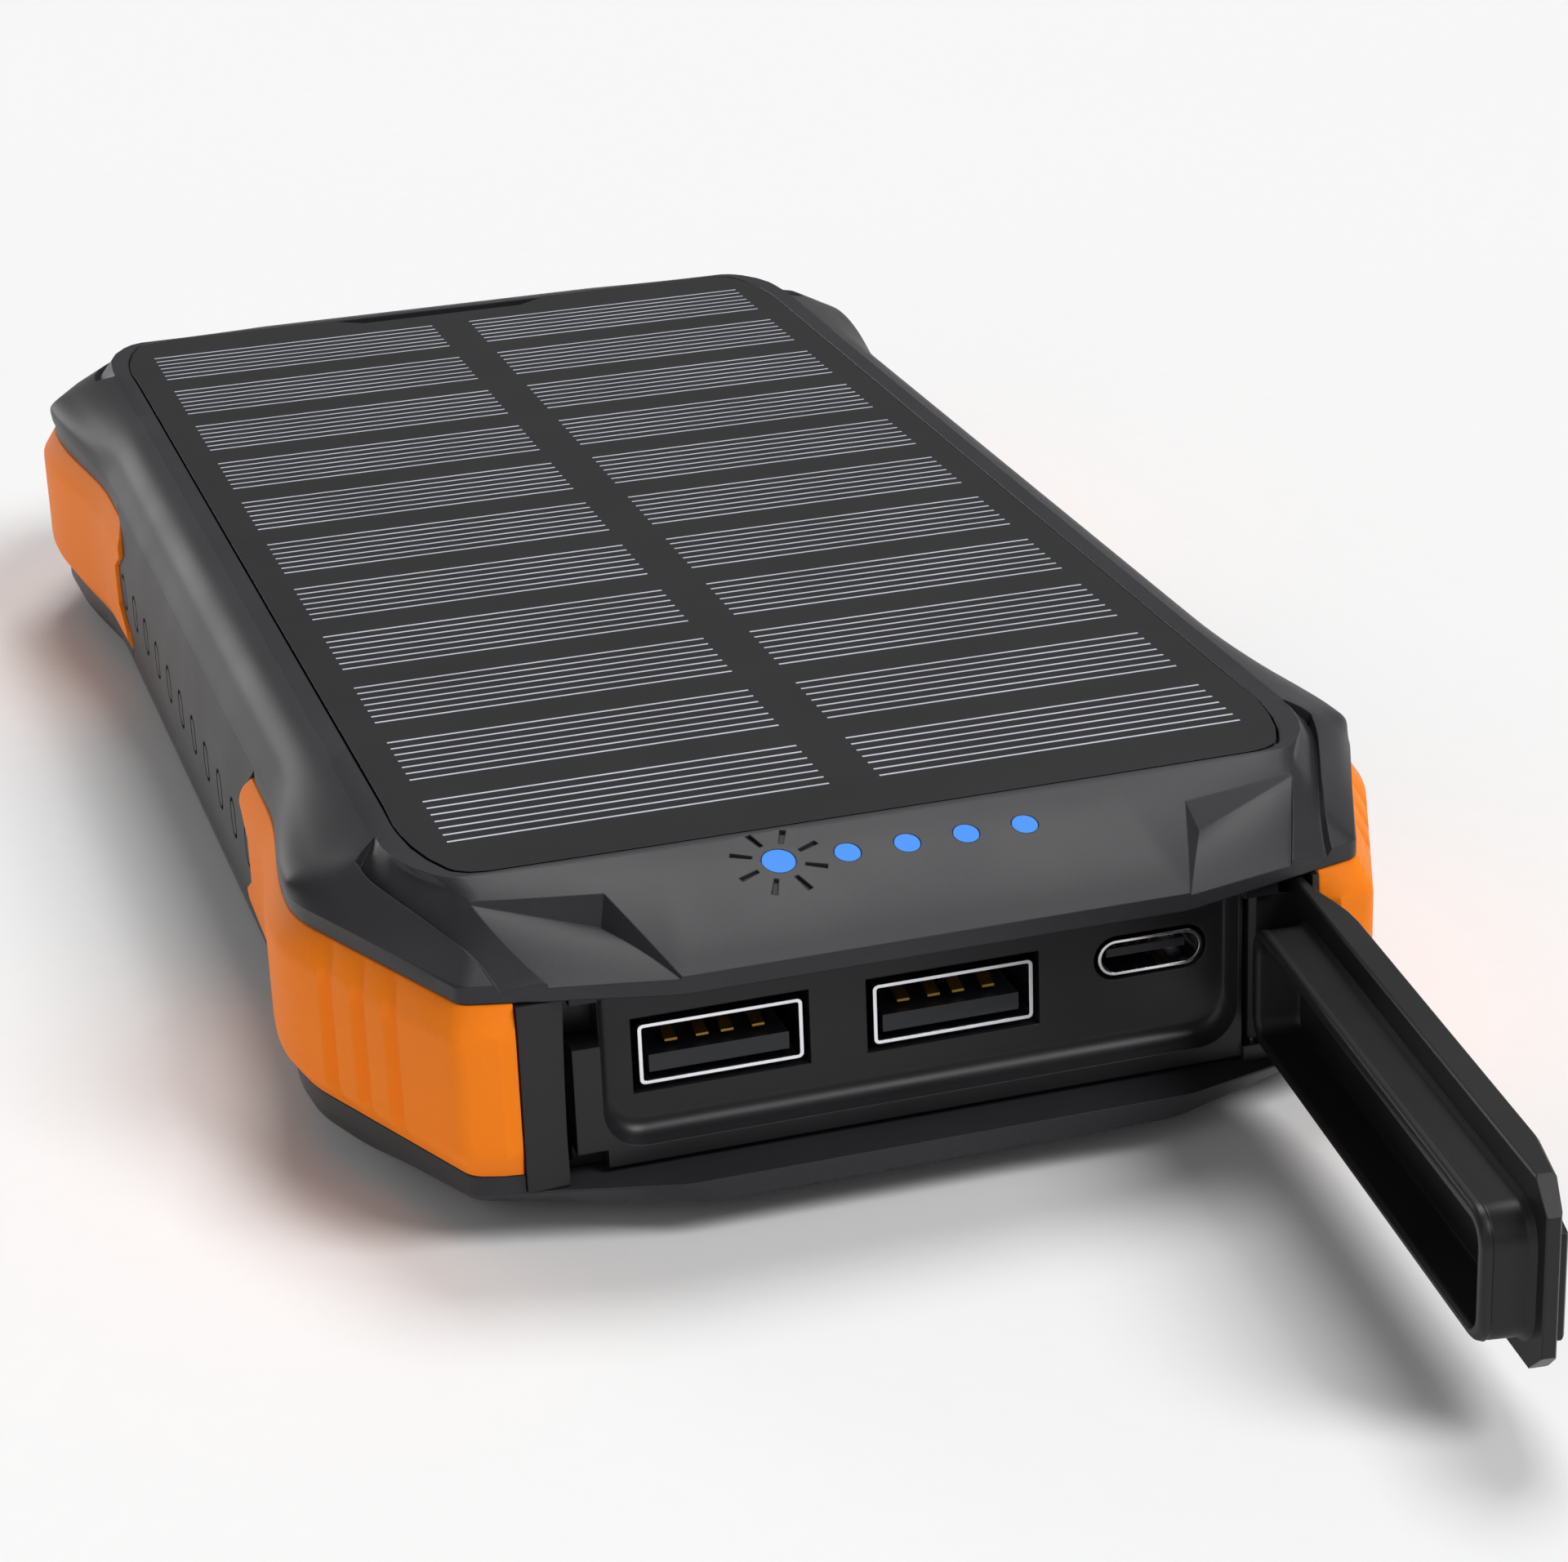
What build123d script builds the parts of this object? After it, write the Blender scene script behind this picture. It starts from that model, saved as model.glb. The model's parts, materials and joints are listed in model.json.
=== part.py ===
"""Rugged solar phone charger with an open port cover.

Frame: millimetres, origin at the middle of the underside, +X to the right seen from
the port end, +Y from the port end to the far end, +Z up through the solar panel.
The port end is at -Y.
"""
from build123d import *
import os
from math import cos, radians, sin

os.makedirs("parts", exist_ok=True)

# ---------------------------------------------------------------- driving dimensions
THICK = 27.0                 # underside to top of the solar panel
SHELL_TOP_JOINT = 20.6       # lower edge of the top shell, upper edge of the bumpers
SHELL_LOW_JOINT = 6.4        # upper edge of the bottom shell
CREASE_TOP = 21.8            # upper edge of the side grips
CREASE_LOW = 5.2             # lower edge of the side grips
WAIST_Y = 46.0               # the sides are straight for less than this from the middle
END_Y = 91.8                 # lips at both ends
GAP = 0.05                   # clearance between pieces that only lie together

# solar panel
PANEL_HALF_X = 36.0
PANEL_HALF_Y = 78.0
PANEL_GAP = 0.3
PANEL_THICK = 1.7
PANEL_SEAT = THICK - PANEL_THICK - 0.3
ROWS = 11
ROW_PITCH = 13.44
CELL_X = 30.98
CELL_Y = 9.6
CELL_GAP_X = 4.21
FINGERS = 7
FINGER_PITCH = 1.434
FINGER_WIDTH = 0.24
CELL_DEEP = 0.22
NOTCH_HALF = 12.0
NOTCH_DEEP = 2.2

# port end
FACE_Y = -86.0               # wall that the sockets show in
RIM_Y = -88.0                # front of the rim round the ports
PILLAR_Y = -88.9
RECESS_Z = (5.0, 20.5)
POCKET_X = 25.9
POCKET_Z = (6.8, 19.0)
RIM_LEFT = -28.1
GAP_LEFT = -29.0
FRAME_HALF_X = 32.3
USB_A = ((-15.9, 13.4), (2.9, 13.4))
USB_A_SIZE = (13.1, 5.06)     # outside of the metal shell
USB_A_WALL = 0.3
USB_C = (19.3, 14.8)
USB_C_SIZE = (8.75, 3.0)
USB_C_WALL = 0.25

# port cover, drawn closed and then swung open
HINGE_X = 27.6
HINGE_Y = -87.0
OPEN_ANGLE = 84.2
COVER_Z = (5.4, 20.3)
COVER_INNER = -89.9
COVER_OUTER = -92.2
COVER_END = -26.6
PLUG_X = (-24.9, 25.3)
PLUG_Z = (7.3, 17.7)
PLUG_FRONT = -86.15
PLUG_WALL = 1.2
PIN_R = 0.5
BARREL_R = 1.2
RUNNING_FIT = 0.05

# indicators
SUN_XY = (-9.71, -82.4)
DOTS_X = (-4.26, 0.57, 5.39, 10.22)
DOTS_Y = -82.65
SUN_R = 1.29
DOT_R = 1.0

# inside
WALL = 1.8
PCB_Z = (16.25, 17.65)
PCB_Y = (-83.4, -60.0)
PCB_HALF_X = 30.0
CELL_HALF_X = 32.0
BATTERY_Y = (-54.0, 64.0)
BATTERY_Z = ((2.6, 12.4), (12.8, 22.6))
CASE_SCREWS = (33.6, 70.0)
PCB_SCREWS = ((-27.0, -63.5), (27.0, -63.5))
BUTTON_Y = -14.0
BUTTON_Z = 13.5
BUTTON_SIZE = (14.0, 6.0)
BUTTON_PROUD = 0.6

# Plan outline of each shell level: height, end y, half width of the end flat, corner,
# shoulder where the diagonal ends, bulge, half width at the waist, and how much further
# out along Y the shoulder lies at the far end.
TOP_LEVELS = (
    (SHELL_TOP_JOINT, END_Y, 20.3, (36.2, 87.4), (43.7, 69.8), (44.8, 64.5), 42.6, 4.2),
    (22.15, END_Y, 20.3, (36.0, 87.5), (43.8, 69.8), (45.0, 65.2), 42.55, 4.2),
    (23.4, 89.3, 19.6, (34.9, 85.2), (43.5, 69.0), (45.0, 65.8), 41.9, 4.2),
    (25.0, 85.4, 19.2, (34.3, 82.4), (41.2, 70.2), (42.5, 65.6), 41.04, 3.0),
    (26.2, 81.7, 19.0, (33.9, 80.3), (39.4, 70.6), (40.0, 65.5), 39.66, 1.2),
    (THICK, 78.6, 19.0, (33.6, 78.5), (37.8, 71.5), (38.05, 66.0), 38.0, 0.0),
)
LOW_LEVELS = (
    (0.0, 78.6, 19.0, (33.6, 78.5), (37.8, 71.5), (38.05, 66.0), 38.0, 0.0),
    (1.2, 85.0, 19.0, (34.4, 81.2), (40.4, 70.4), (41.4, 64.5), 40.1, 1.5),
    (3.1, END_Y, 19.1, (35.5, 85.2), (42.6, 70.1), (44.1, 64.0), 41.75, 3.0),
    (4.7, END_Y, 20.3, (36.2, 87.4), (43.7, 69.8), (44.8, 64.5), 42.5, 4.2),
    (SHELL_LOW_JOINT, END_Y, 20.3, (36.2, 87.4), (43.7, 69.8), (44.8, 64.5), 42.6, 4.2),
)

# Edge between bumper and grip on the side face, as distance from the middle and height.
SIDE_EDGE = (
    (38.4, CREASE_TOP), (35.2, 19.3), (34.3, 17.5), (37.8, 15.5),
    (37.8, 11.5), (34.3, 9.5), (35.2, 7.7), (38.4, CREASE_LOW),
)

# Inside of the housing, and outside of the middle frame, for one quarter at the port
# end and one at the far end.
CAVITY_FRONT = ((0, -82.2), (31.4, -82.2), (33.6, -80.4), (39.3, -66.8), (39.3, 0))
CAVITY_LOW = ((0, -80.0), (30.0, -80.0), (32.5, -77.5), (38.2, -65.5), (38.2, 0))
CAVITY_REAR = ((39.3, 66.8), (33.6, 80.4), (31.0, 84.8), (19.0, 87.2), (0, 87.2))
FRAME_FRONT = ((0, -83.95), (32.4, -83.95), (35.0, -81.5), (41.1, -67.5), (41.1, 0))
FRAME_REAR = ((41.1, 67.5), (35.0, 81.5), (32.4, 83.95), (32.4, 87.9), (20.2, 90.9), (0, 90.9))

FAR_REACH = 4.2                # the far shoulders at the joints, further out along Y
BULGE_SHARE = 0.5

HINGE = Axis((HINGE_X, HINGE_Y, 0), (0, 0, 1))


# ---------------------------------------------------------------- helpers
def block(x, y, z, mode=Mode.ADD):
    """Box between two x, two y and two z."""
    middle = tuple((low + high) / 2 for low, high in (x, y, z))
    with Locations(middle):
        Box(abs(x[1] - x[0]), abs(y[1] - y[0]), abs(z[1] - z[0]), mode=mode)


def body_plan(end_y, end_half, corner, shoulder, bulge, waist_x, reach):
    """Closed plan of the housing, with the far shoulders further out by the reach."""
    front = [(corner[0], -corner[1]), (shoulder[0], -shoulder[1]), (bulge[0], -bulge[1])]
    far = [corner, (shoulder[0], shoulder[1] + reach), (bulge[0], bulge[1] + BULGE_SHARE * reach)]
    front_way = (front[1][0] - front[0][0], front[1][1] - front[0][1])
    far_way = (far[0][0] - far[1][0], far[0][1] - far[1][1])
    with BuildSketch() as plan:
        with BuildLine():
            Polyline((0, -end_y), (end_half, -end_y), front[0], front[1])
            Spline(front[1], front[2], (waist_x, -WAIST_Y), tangents=(front_way, (0, 1)))
            Line((waist_x, -WAIST_Y), (waist_x, WAIST_Y))
            Spline((waist_x, WAIST_Y), far[2], far[1], tangents=((0, 1), far_way))
            Polyline(far[1], far[0], (end_half, end_y), (0, end_y))
            mirror(about=Plane.YZ)
        make_face()
    return plan.sketch


def ring_plan(front, rear):
    """Closed plan from a quarter at the port end and a quarter at the far end."""
    with BuildSketch() as plan:
        with BuildLine():
            Polyline(*front, *rear)
            mirror(about=Plane.YZ)
        make_face()
    return plan.sketch


def tilted_prism(triangle, top):
    """Prism from a tilted triangle straight up to a level."""
    lower = Wire.make_polygon(triangle)
    upper = Wire.make_polygon([(x, y, top) for x, y, _ in triangle])
    return Solid.make_loft([lower, upper], ruled=True)


def save(part, name):
    """Label a piece and write it."""
    part.label = name
    export_step(part, f"parts/{name}.step")


# ---------------------------------------------------------------- housing forms
with BuildPart() as top_form:
    for height, *plan in TOP_LEVELS:
        with BuildSketch(Plane.XY.offset(height)):
            add(body_plan(*plan))
    loft(ruled=True)

with BuildPart() as low_form:
    for height, *plan in LOW_LEVELS:
        with BuildSketch(Plane.XY.offset(height)):
            add(body_plan(*plan))
    loft(ruled=True)

# Corners of the wedge pocket in the port-end slope: outer top, inner top (deep),
# inner bottom and outer bottom.
WEDGE = ((33.6, -81.3, 26.2), (23.7, -82.7, 24.6), (20.5, -91.7, 22.2), (29.6, -90.0, 22.5))
wedge_cuts = [
    tilted_prism((WEDGE[0], WEDGE[1], WEDGE[3]), THICK + 1),
    tilted_prism((WEDGE[1], WEDGE[2], WEDGE[3]), THICK + 1),
]

# ---------------------------------------------------------------- top shell
with BuildPart() as top_shell:
    add(top_form.part)
    # room inside
    with BuildSketch(Plane.XY.offset(SHELL_TOP_JOINT)):
        add(ring_plan(CAVITY_FRONT, CAVITY_REAR))
    extrude(amount=23.4 - SHELL_TOP_JOINT, mode=Mode.SUBTRACT)
    # seat of the solar panel
    with BuildSketch(Plane.XY.offset(PANEL_SEAT)):
        RectangleRounded(2 * (PANEL_HALF_X + PANEL_GAP), 2 * (PANEL_HALF_Y + PANEL_GAP), 4.5)
    extrude(amount=THICK - PANEL_SEAT, mode=Mode.SUBTRACT)
    # slots for the solar leads
    for side in (-1, 1):
        block((side * 9 - 1.6, side * 9 + 1.6), (-73.3, -72.0), (22, PANEL_SEAT + 1), Mode.SUBTRACT)
    # steps that the side grips fit under
    for side in (-1, 1):
        block(
            (side * 41.12, side * 44), (-38.6, 38.6), (SHELL_TOP_JOINT - 1, CREASE_TOP + GAP),
            Mode.SUBTRACT,
        )
    # wedge pockets
    for cut in wedge_cuts:
        add(cut, mode=Mode.SUBTRACT)
        add(cut.mirror(Plane.YZ), mode=Mode.SUBTRACT)
    # holes for the light pipes
    with BuildSketch(Plane.XY.offset(SHELL_TOP_JOINT - 1)):
        with Locations(SUN_XY):
            Circle(SUN_R + GAP)
        with Locations(*[(x, DOTS_Y) for x in DOTS_X]):
            Circle(DOT_R + GAP)
    extrude(amount=8, mode=Mode.SUBTRACT)
    # posts for the case screws, reaching down to the bottom shell
    with BuildSketch(Plane.XY.offset(SHELL_LOW_JOINT)):
        with GridLocations(2 * CASE_SCREWS[0], 2 * CASE_SCREWS[1], 2, 2):
            Circle(2.6)
    extrude(amount=23.5 - SHELL_LOW_JOINT)
    with BuildSketch(Plane.XY.offset(SHELL_LOW_JOINT)):
        with GridLocations(2 * CASE_SCREWS[0], 2 * CASE_SCREWS[1], 2, 2):
            Circle(1.15)
    extrude(amount=9.0, mode=Mode.SUBTRACT)
save(top_shell.part, "top_shell")

# ---------------------------------------------------------------- bottom shell
with BuildPart() as bottom_shell:
    add(low_form.part)
    with BuildSketch(Plane.XY.offset(WALL)):
        add(ring_plan(CAVITY_LOW, [(x, -y) for x, y in reversed(CAVITY_LOW[:-1])]))
    extrude(amount=SHELL_LOW_JOINT - WALL, mode=Mode.SUBTRACT)
    with BuildSketch(Plane.XY.offset(2 * WALL)):
        add(ring_plan(CAVITY_FRONT, CAVITY_REAR))
    extrude(amount=SHELL_LOW_JOINT - 2 * WALL, mode=Mode.SUBTRACT)
    # room for the port frame behind the lower lip
    block((-32.35, 32.35), (-100, -83.95), (RECESS_Z[0] - 0.1, 10), Mode.SUBTRACT)
    # steps that the side grips stand on
    for side in (-1, 1):
        block((side * 41.12, side * 44), (-38.6, 38.6), (CREASE_LOW - GAP, 8), Mode.SUBTRACT)
    # posts for the case screws
    with BuildSketch(Plane.XY):
        with GridLocations(2 * CASE_SCREWS[0], 2 * CASE_SCREWS[1], 2, 2):
            Circle(3.4)
    extrude(amount=SHELL_LOW_JOINT - GAP)
    with GridLocations(2 * CASE_SCREWS[0], 2 * CASE_SCREWS[1], 2, 2):
        with Locations(Location((0, 0, 0), (180, 0, 0))):
            CounterBoreHole(1.5, 2.6, 2.6, SHELL_LOW_JOINT)
    # posts for the main board
    with BuildSketch(Plane.XY.offset(WALL)):
        with Locations(*PCB_SCREWS):
            Circle(2.2)
    extrude(amount=PCB_Z[0] - WALL)
    with BuildSketch(Plane.XY.offset(PCB_Z[0])):
        with Locations(*PCB_SCREWS):
            Circle(0.9)
    extrude(amount=-6, mode=Mode.SUBTRACT)
save(bottom_shell.part, "bottom_shell")

# ---------------------------------------------------------------- middle frame
BOARD_X = (33.0, 34.0)
with BuildPart() as mid_frame:
    with BuildSketch(Plane.XY.offset(SHELL_LOW_JOINT)):
        add(ring_plan(FRAME_FRONT, FRAME_REAR))
        add(ring_plan(CAVITY_FRONT, CAVITY_REAR), mode=Mode.SUBTRACT)
    extrude(amount=SHELL_TOP_JOINT - SHELL_LOW_JOINT)
    # window behind the port frame
    block((-30.5, 30.5), (-85, -82), (7.4, SHELL_TOP_JOINT + 0.1), Mode.SUBTRACT)
    # opening for the power button
    with BuildSketch(Plane.YZ.offset(38)):
        with Locations((BUTTON_Y, BUTTON_Z)):
            SlotOverall(BUTTON_SIZE[0] + 0.2, BUTTON_SIZE[1] + 0.2)
    extrude(amount=5, mode=Mode.SUBTRACT)
    # brackets that hold the button board
    for end in (-1, 1):
        block(
            (32.4, 39.4), (BUTTON_Y + end * 8.6, BUTTON_Y + end * 10.4), (9.5, 17.5),
        )
        block(
            BOARD_X, (BUTTON_Y + end * 8.5, BUTTON_Y + end * 9.6), (9.5, 17.6), Mode.SUBTRACT,
        )
    # way out for the flat cable
    block((32.3, BOARD_X[0]), (BUTTON_Y - 10.5, BUTTON_Y - 8.5), (10.8, 16.2), Mode.SUBTRACT)
save(mid_frame.part, "mid_frame")

# ---------------------------------------------------------------- side grips
GRIP_INNER = 41.15
RIB_COUNT = 11
RIB_PITCH = 7.0
with BuildPart() as side_grip_right:
    with BuildSketch(Plane.XZ.offset(-40)):
        Polygon(
            (GRIP_INNER, CREASE_LOW), (42.6, CREASE_LOW), (43.2, 9.8), (43.2, 17.2),
            (42.6, CREASE_TOP), (GRIP_INNER, CREASE_TOP), align=None,
        )
    extrude(amount=80)
    with BuildSketch(Plane.YZ.offset(GRIP_INNER - 1)):
        with BuildLine():
            Polyline(*[(y, z) for y, z in SIDE_EDGE], *[(-y, z) for y, z in reversed(SIDE_EDGE)], close=True)
        make_face()
    extrude(amount=4, mode=Mode.INTERSECT)
    # row of small upright dimples, left out where the button is
    with BuildSketch(Plane.YZ.offset(43.2)):
        for index in range(RIB_COUNT):
            rib_y = (index - (RIB_COUNT - 1) / 2) * RIB_PITCH
            if abs(rib_y - BUTTON_Y) > 9.5:
                with Locations(Location((rib_y, THICK / 2), 90)):
                    SlotOverall(2.6, 1.1)
    extrude(amount=-0.5, mode=Mode.SUBTRACT)
    with BuildSketch(Plane.YZ.offset(40)):
        with Locations((BUTTON_Y, BUTTON_Z)):
            SlotOverall(BUTTON_SIZE[0] + 0.2, BUTTON_SIZE[1] + 0.2)
    extrude(amount=5, mode=Mode.SUBTRACT)
save(side_grip_right.part, "side_grip_right")

with BuildPart() as side_grip_left:
    with BuildSketch(Plane.XZ.offset(-40)):
        Polygon(
            (-GRIP_INNER, CREASE_LOW), (-42.6, CREASE_LOW), (-43.2, 9.8), (-43.2, 17.2),
            (-42.6, CREASE_TOP), (-GRIP_INNER, CREASE_TOP), align=None,
        )
    extrude(amount=80)
    with BuildSketch(Plane.YZ.offset(-GRIP_INNER + 1)):
        with BuildLine():
            Polyline(*[(y, z) for y, z in SIDE_EDGE], *[(-y, z) for y, z in reversed(SIDE_EDGE)], close=True)
        make_face()
    extrude(amount=-4, mode=Mode.INTERSECT)
    with BuildSketch(Plane.YZ.offset(-43.2)):
        with GridLocations(RIB_PITCH, 1, RIB_COUNT, 1):
            with Locations(Location((0, THICK / 2), 90)):
                SlotOverall(2.6, 1.1)
    extrude(amount=0.5, mode=Mode.SUBTRACT)
save(side_grip_left.part, "side_grip_left")

# ---------------------------------------------------------------- corner bumpers
BUMPER_LEVELS = ((SHELL_LOW_JOINT, 0.0), (8.6, 1.5), (18.4, 1.5), (SHELL_TOP_JOINT, 0.0))
GROOVES = (-4.3, 0.0, 4.3)
GROOVE_SHARE = 0.62             # place of the middle groove along the diagonal face
BUMPER_INNER_X = 32.5


def bumper_points(proud, reach):
    """Inner end, corner, shoulder, bulge, tip and end of a bumper at the port end on +X."""
    return [
        (BUMPER_INNER_X + 0.4 * proud, -88.9 - 0.9 * proud),
        (36.2 + 0.62 * proud, -87.4 - 0.9 * proud),
        (43.7 + 0.92 * proud, -69.8 - 0.39 * proud - reach),
        (44.8 + proud, -64.5 - BULGE_SHARE * reach),
        (42.7 + 0.7 * proud, -46.0),
        (42.6 + 0.6 * proud, -34.0),
    ]


def bumper_plan(proud, reach):
    """Plan of the bumper at the port end on the +X side, standing proud of the shells."""
    inner, corner, shoulder, bulge, tip, end = bumper_points(proud, reach)
    with BuildSketch() as plan:
        with BuildLine():
            Polyline(inner, corner, shoulder)
            Spline(
                shoulder, bulge, tip,
                tangents=((shoulder[0] - corner[0], shoulder[1] - corner[1]), (0, 1)),
            )
            Polyline(
                tip, end, (GRIP_INNER, -34.0), (GRIP_INNER, -67.5), (35.1, -81.65),
                (BUMPER_INNER_X, -84.05), inner,
            )
        make_face()
    return plan.sketch


def bumper(reach):
    """Bumper at the port end on the +X side, with upright grooves in its diagonal face."""
    _, corner, shoulder, *_ = bumper_points(BUMPER_LEVELS[1][1], reach)
    way = Vector(shoulder[0] - corner[0], shoulder[1] - corner[1], 0)
    middle = Vector(*corner, 0) + way * GROOVE_SHARE
    with BuildPart() as built:
        for height, proud in BUMPER_LEVELS:
            with BuildSketch(Plane.XY.offset(height)):
                add(bumper_plan(proud, reach))
        loft(ruled=True)
        # end on the side, shaped to the grip
        with BuildSketch(Plane.YZ.offset(40)):
            with BuildLine():
                Polyline(
                    (-30, 2), *[(-y - 2 * GAP, z) for y, z in reversed(SIDE_EDGE)], (-30, 25),
                    close=True,
                )
            make_face()
        extrude(amount=8, mode=Mode.SUBTRACT)
        with BuildSketch(Plane(origin=middle, x_dir=way, z_dir=(0, 0, 1))):
            with Locations(*[(place, 0) for place in GROOVES]):
                Polygon((-1.4, -0.3), (0, 0.6), (1.4, -0.3), align=None)
        extrude(amount=THICK, mode=Mode.SUBTRACT)
    return built.part


bumper_front_right = bumper(0.0)
save(bumper_front_right, "bumper_front_right")

bumper_front_left = bumper_front_right.mirror(Plane.YZ)
bumper_rear_right = bumper(FAR_REACH).mirror(Plane.XZ)
bumper_rear_left = bumper_rear_right.mirror(Plane.YZ)
save(bumper_front_left, "bumper_front_left")
save(bumper_rear_right, "bumper_rear_right")
save(bumper_rear_left, "bumper_rear_left")

# ---------------------------------------------------------------- port frame
with BuildPart() as port_frame:
    block((-FRAME_HALF_X, FRAME_HALF_X), (FACE_Y, -84.0), RECESS_Z)
    # pillar beside the pry gap, and the thin wall past the hinge
    block((-FRAME_HALF_X, GAP_LEFT), (PILLAR_Y, FACE_Y), RECESS_Z)
    block((31.75, FRAME_HALF_X), (PILLAR_Y, FACE_Y), RECESS_Z)
    # rim round the ports
    block((RIM_LEFT, 26.25), (RIM_Y, FACE_Y), (5.4, 20.3))
    with BuildSketch(Plane.XZ.offset(-RIM_Y)):
        with Locations((0, (POCKET_Z[0] + POCKET_Z[1]) / 2)):
            RectangleRounded(2 * POCKET_X, POCKET_Z[1] - POCKET_Z[0], 3)
    extrude(amount=FACE_Y - RIM_Y, dir=(0, 1, 0), mode=Mode.SUBTRACT)
    # notches that a fingernail or the cover's end goes into
    block((RIM_LEFT - 0.1, -POCKET_X), (RIM_Y - 0.1, -84.6), (15.7, 19.4), Mode.SUBTRACT)
    block((RIM_LEFT - 0.1, -POCKET_X), (RIM_Y - 0.1, FACE_Y), (5.3, 6.9), Mode.SUBTRACT)
    # deep gap beside the rim
    block((GAP_LEFT, RIM_LEFT), (PILLAR_Y, -84.6), (RECESS_Z[0] + 0.6, 19.6), Mode.SUBTRACT)
    # openings for the sockets
    with BuildSketch(Plane.XZ.offset(80)):
        with Locations(*USB_A):
            RectangleRounded(USB_A_SIZE[0] + 1.1, USB_A_SIZE[1] + 1.3, 0.15)
        with Locations(USB_C):
            SlotOverall(USB_C_SIZE[0] + 0.75, USB_C_SIZE[1] + 0.75)
    extrude(amount=10, mode=Mode.SUBTRACT)
    # lugs that hold the ends of the hinge pin, and room for the barrel
    block((26.25, 29.1), (-88.4, FACE_Y), (RECESS_Z[0], 6.4))
    block((26.25, 29.1), (-88.4, FACE_Y), (19.2, RECESS_Z[1]))
    with Locations((HINGE_X, HINGE_Y, (6.4 + 19.2) / 2)):
        Cylinder(BARREL_R + 0.15, 19.2 - 6.4, mode=Mode.SUBTRACT)
    with Locations((HINGE_X, HINGE_Y, THICK / 2)):
        Cylinder(PIN_R, THICK, mode=Mode.SUBTRACT)
save(port_frame.part, "port_frame")

# ---------------------------------------------------------------- port cover
with BuildPart() as closed_cover:
    # plate
    with BuildSketch(Plane.XY.offset(COVER_Z[0])):
        with BuildLine():
            Polyline(
                (18.2, COVER_OUTER), (-19.4, COVER_OUTER), (COVER_END, -90.95),
                (COVER_END, COVER_INNER), (28.2, COVER_INNER), (28.2, -90.6), (24.3, -90.85),
            )
            Spline((24.3, -90.85), (18.2, COVER_OUTER), tangents=((-1, -0.03), (-1, 0)))
        make_face()
    extrude(amount=COVER_Z[1] - COVER_Z[0])
    # corners of the free end
    with BuildSketch(Plane.XZ.offset(95)):
        with Locations((COVER_END, COVER_Z[0]), (COVER_END, COVER_Z[1])):
            Rectangle(2.4, 2.4, rotation=45)
    extrude(amount=-5.4, mode=Mode.SUBTRACT)
    # hollow plug that fills the recess
    with BuildSketch(Plane.XZ.offset(-COVER_INNER)):
        with Locations((sum(PLUG_X) / 2, sum(PLUG_Z) / 2)):
            RectangleRounded(PLUG_X[1] - PLUG_X[0], PLUG_Z[1] - PLUG_Z[0], 2.6)
            RectangleRounded(
                PLUG_X[1] - PLUG_X[0] - 2 * PLUG_WALL, PLUG_Z[1] - PLUG_Z[0] - 2 * PLUG_WALL, 1.4,
                mode=Mode.SUBTRACT,
            )
    extrude(amount=PLUG_FRONT - COVER_INNER, dir=(0, 1, 0))
    rim_edges = closed_cover.edges().filter_by(
        lambda edge: abs(edge.bounding_box().min.Y - PLUG_FRONT) < 1e-4
    )
    fillet(rim_edges, 0.35)
    # finger pad on the outside of the free end
    with BuildSketch(Plane.XY.offset(8.0)):
        Polygon(
            (-25.6, -90.8), (-25.75, -91.85), (-20.2, -92.8), (-14.5, -92.8), (-14.5, -92.0),
            align=None,
        )
    extrude(amount=8.4)
    # leaf and barrel of the hinge
    block((27.0, 28.2), (COVER_INNER - 0.2, HINGE_Y), (6.65, 18.95))
    with Locations((HINGE_X, HINGE_Y, 12.8)):
        Cylinder(BARREL_R, 12.3)
    with Locations((HINGE_X, HINGE_Y, 12.8)):
        Cylinder(PIN_R + RUNNING_FIT, 14, mode=Mode.SUBTRACT)
port_cover = closed_cover.part.rotate(HINGE, OPEN_ANGLE)
save(port_cover, "port_cover")

with BuildPart() as hinge_pin:
    with BuildSketch(Plane.XY.offset(RECESS_Z[0])):
        with Locations((HINGE_X, HINGE_Y)):
            Circle(PIN_R)
    extrude(amount=RECESS_Z[1] - RECESS_Z[0])
save(hinge_pin.part, "hinge_pin")

# ---------------------------------------------------------------- solar panel
column_x = (CELL_X + CELL_GAP_X) / 2
with BuildPart() as solar_laminate:
    with BuildSketch(Plane.XY.offset(THICK - PANEL_THICK)):
        RectangleRounded(2 * PANEL_HALF_X, 2 * PANEL_HALF_Y, 4.2)
    extrude(amount=PANEL_THICK - 0.01)
    with BuildSketch(Plane.XY.offset(THICK)):
        with GridLocations(2 * column_x, ROW_PITCH, 2, ROWS):
            Rectangle(CELL_X + 0.1, CELL_Y + 0.1)
    extrude(amount=-CELL_DEEP - 0.01, mode=Mode.SUBTRACT)
    # notch in the far edge
    with BuildSketch(Plane.XY.offset(THICK)):
        Polygon(
            (-NOTCH_HALF, PANEL_HALF_Y + 1), (-NOTCH_HALF, PANEL_HALF_Y),
            (-9.0, PANEL_HALF_Y - NOTCH_DEEP), (9.0, PANEL_HALF_Y - NOTCH_DEEP),
            (NOTCH_HALF, PANEL_HALF_Y), (NOTCH_HALF, PANEL_HALF_Y + 1), align=None,
        )
    extrude(amount=-0.8, mode=Mode.SUBTRACT)
save(solar_laminate.part, "solar_laminate")

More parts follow.
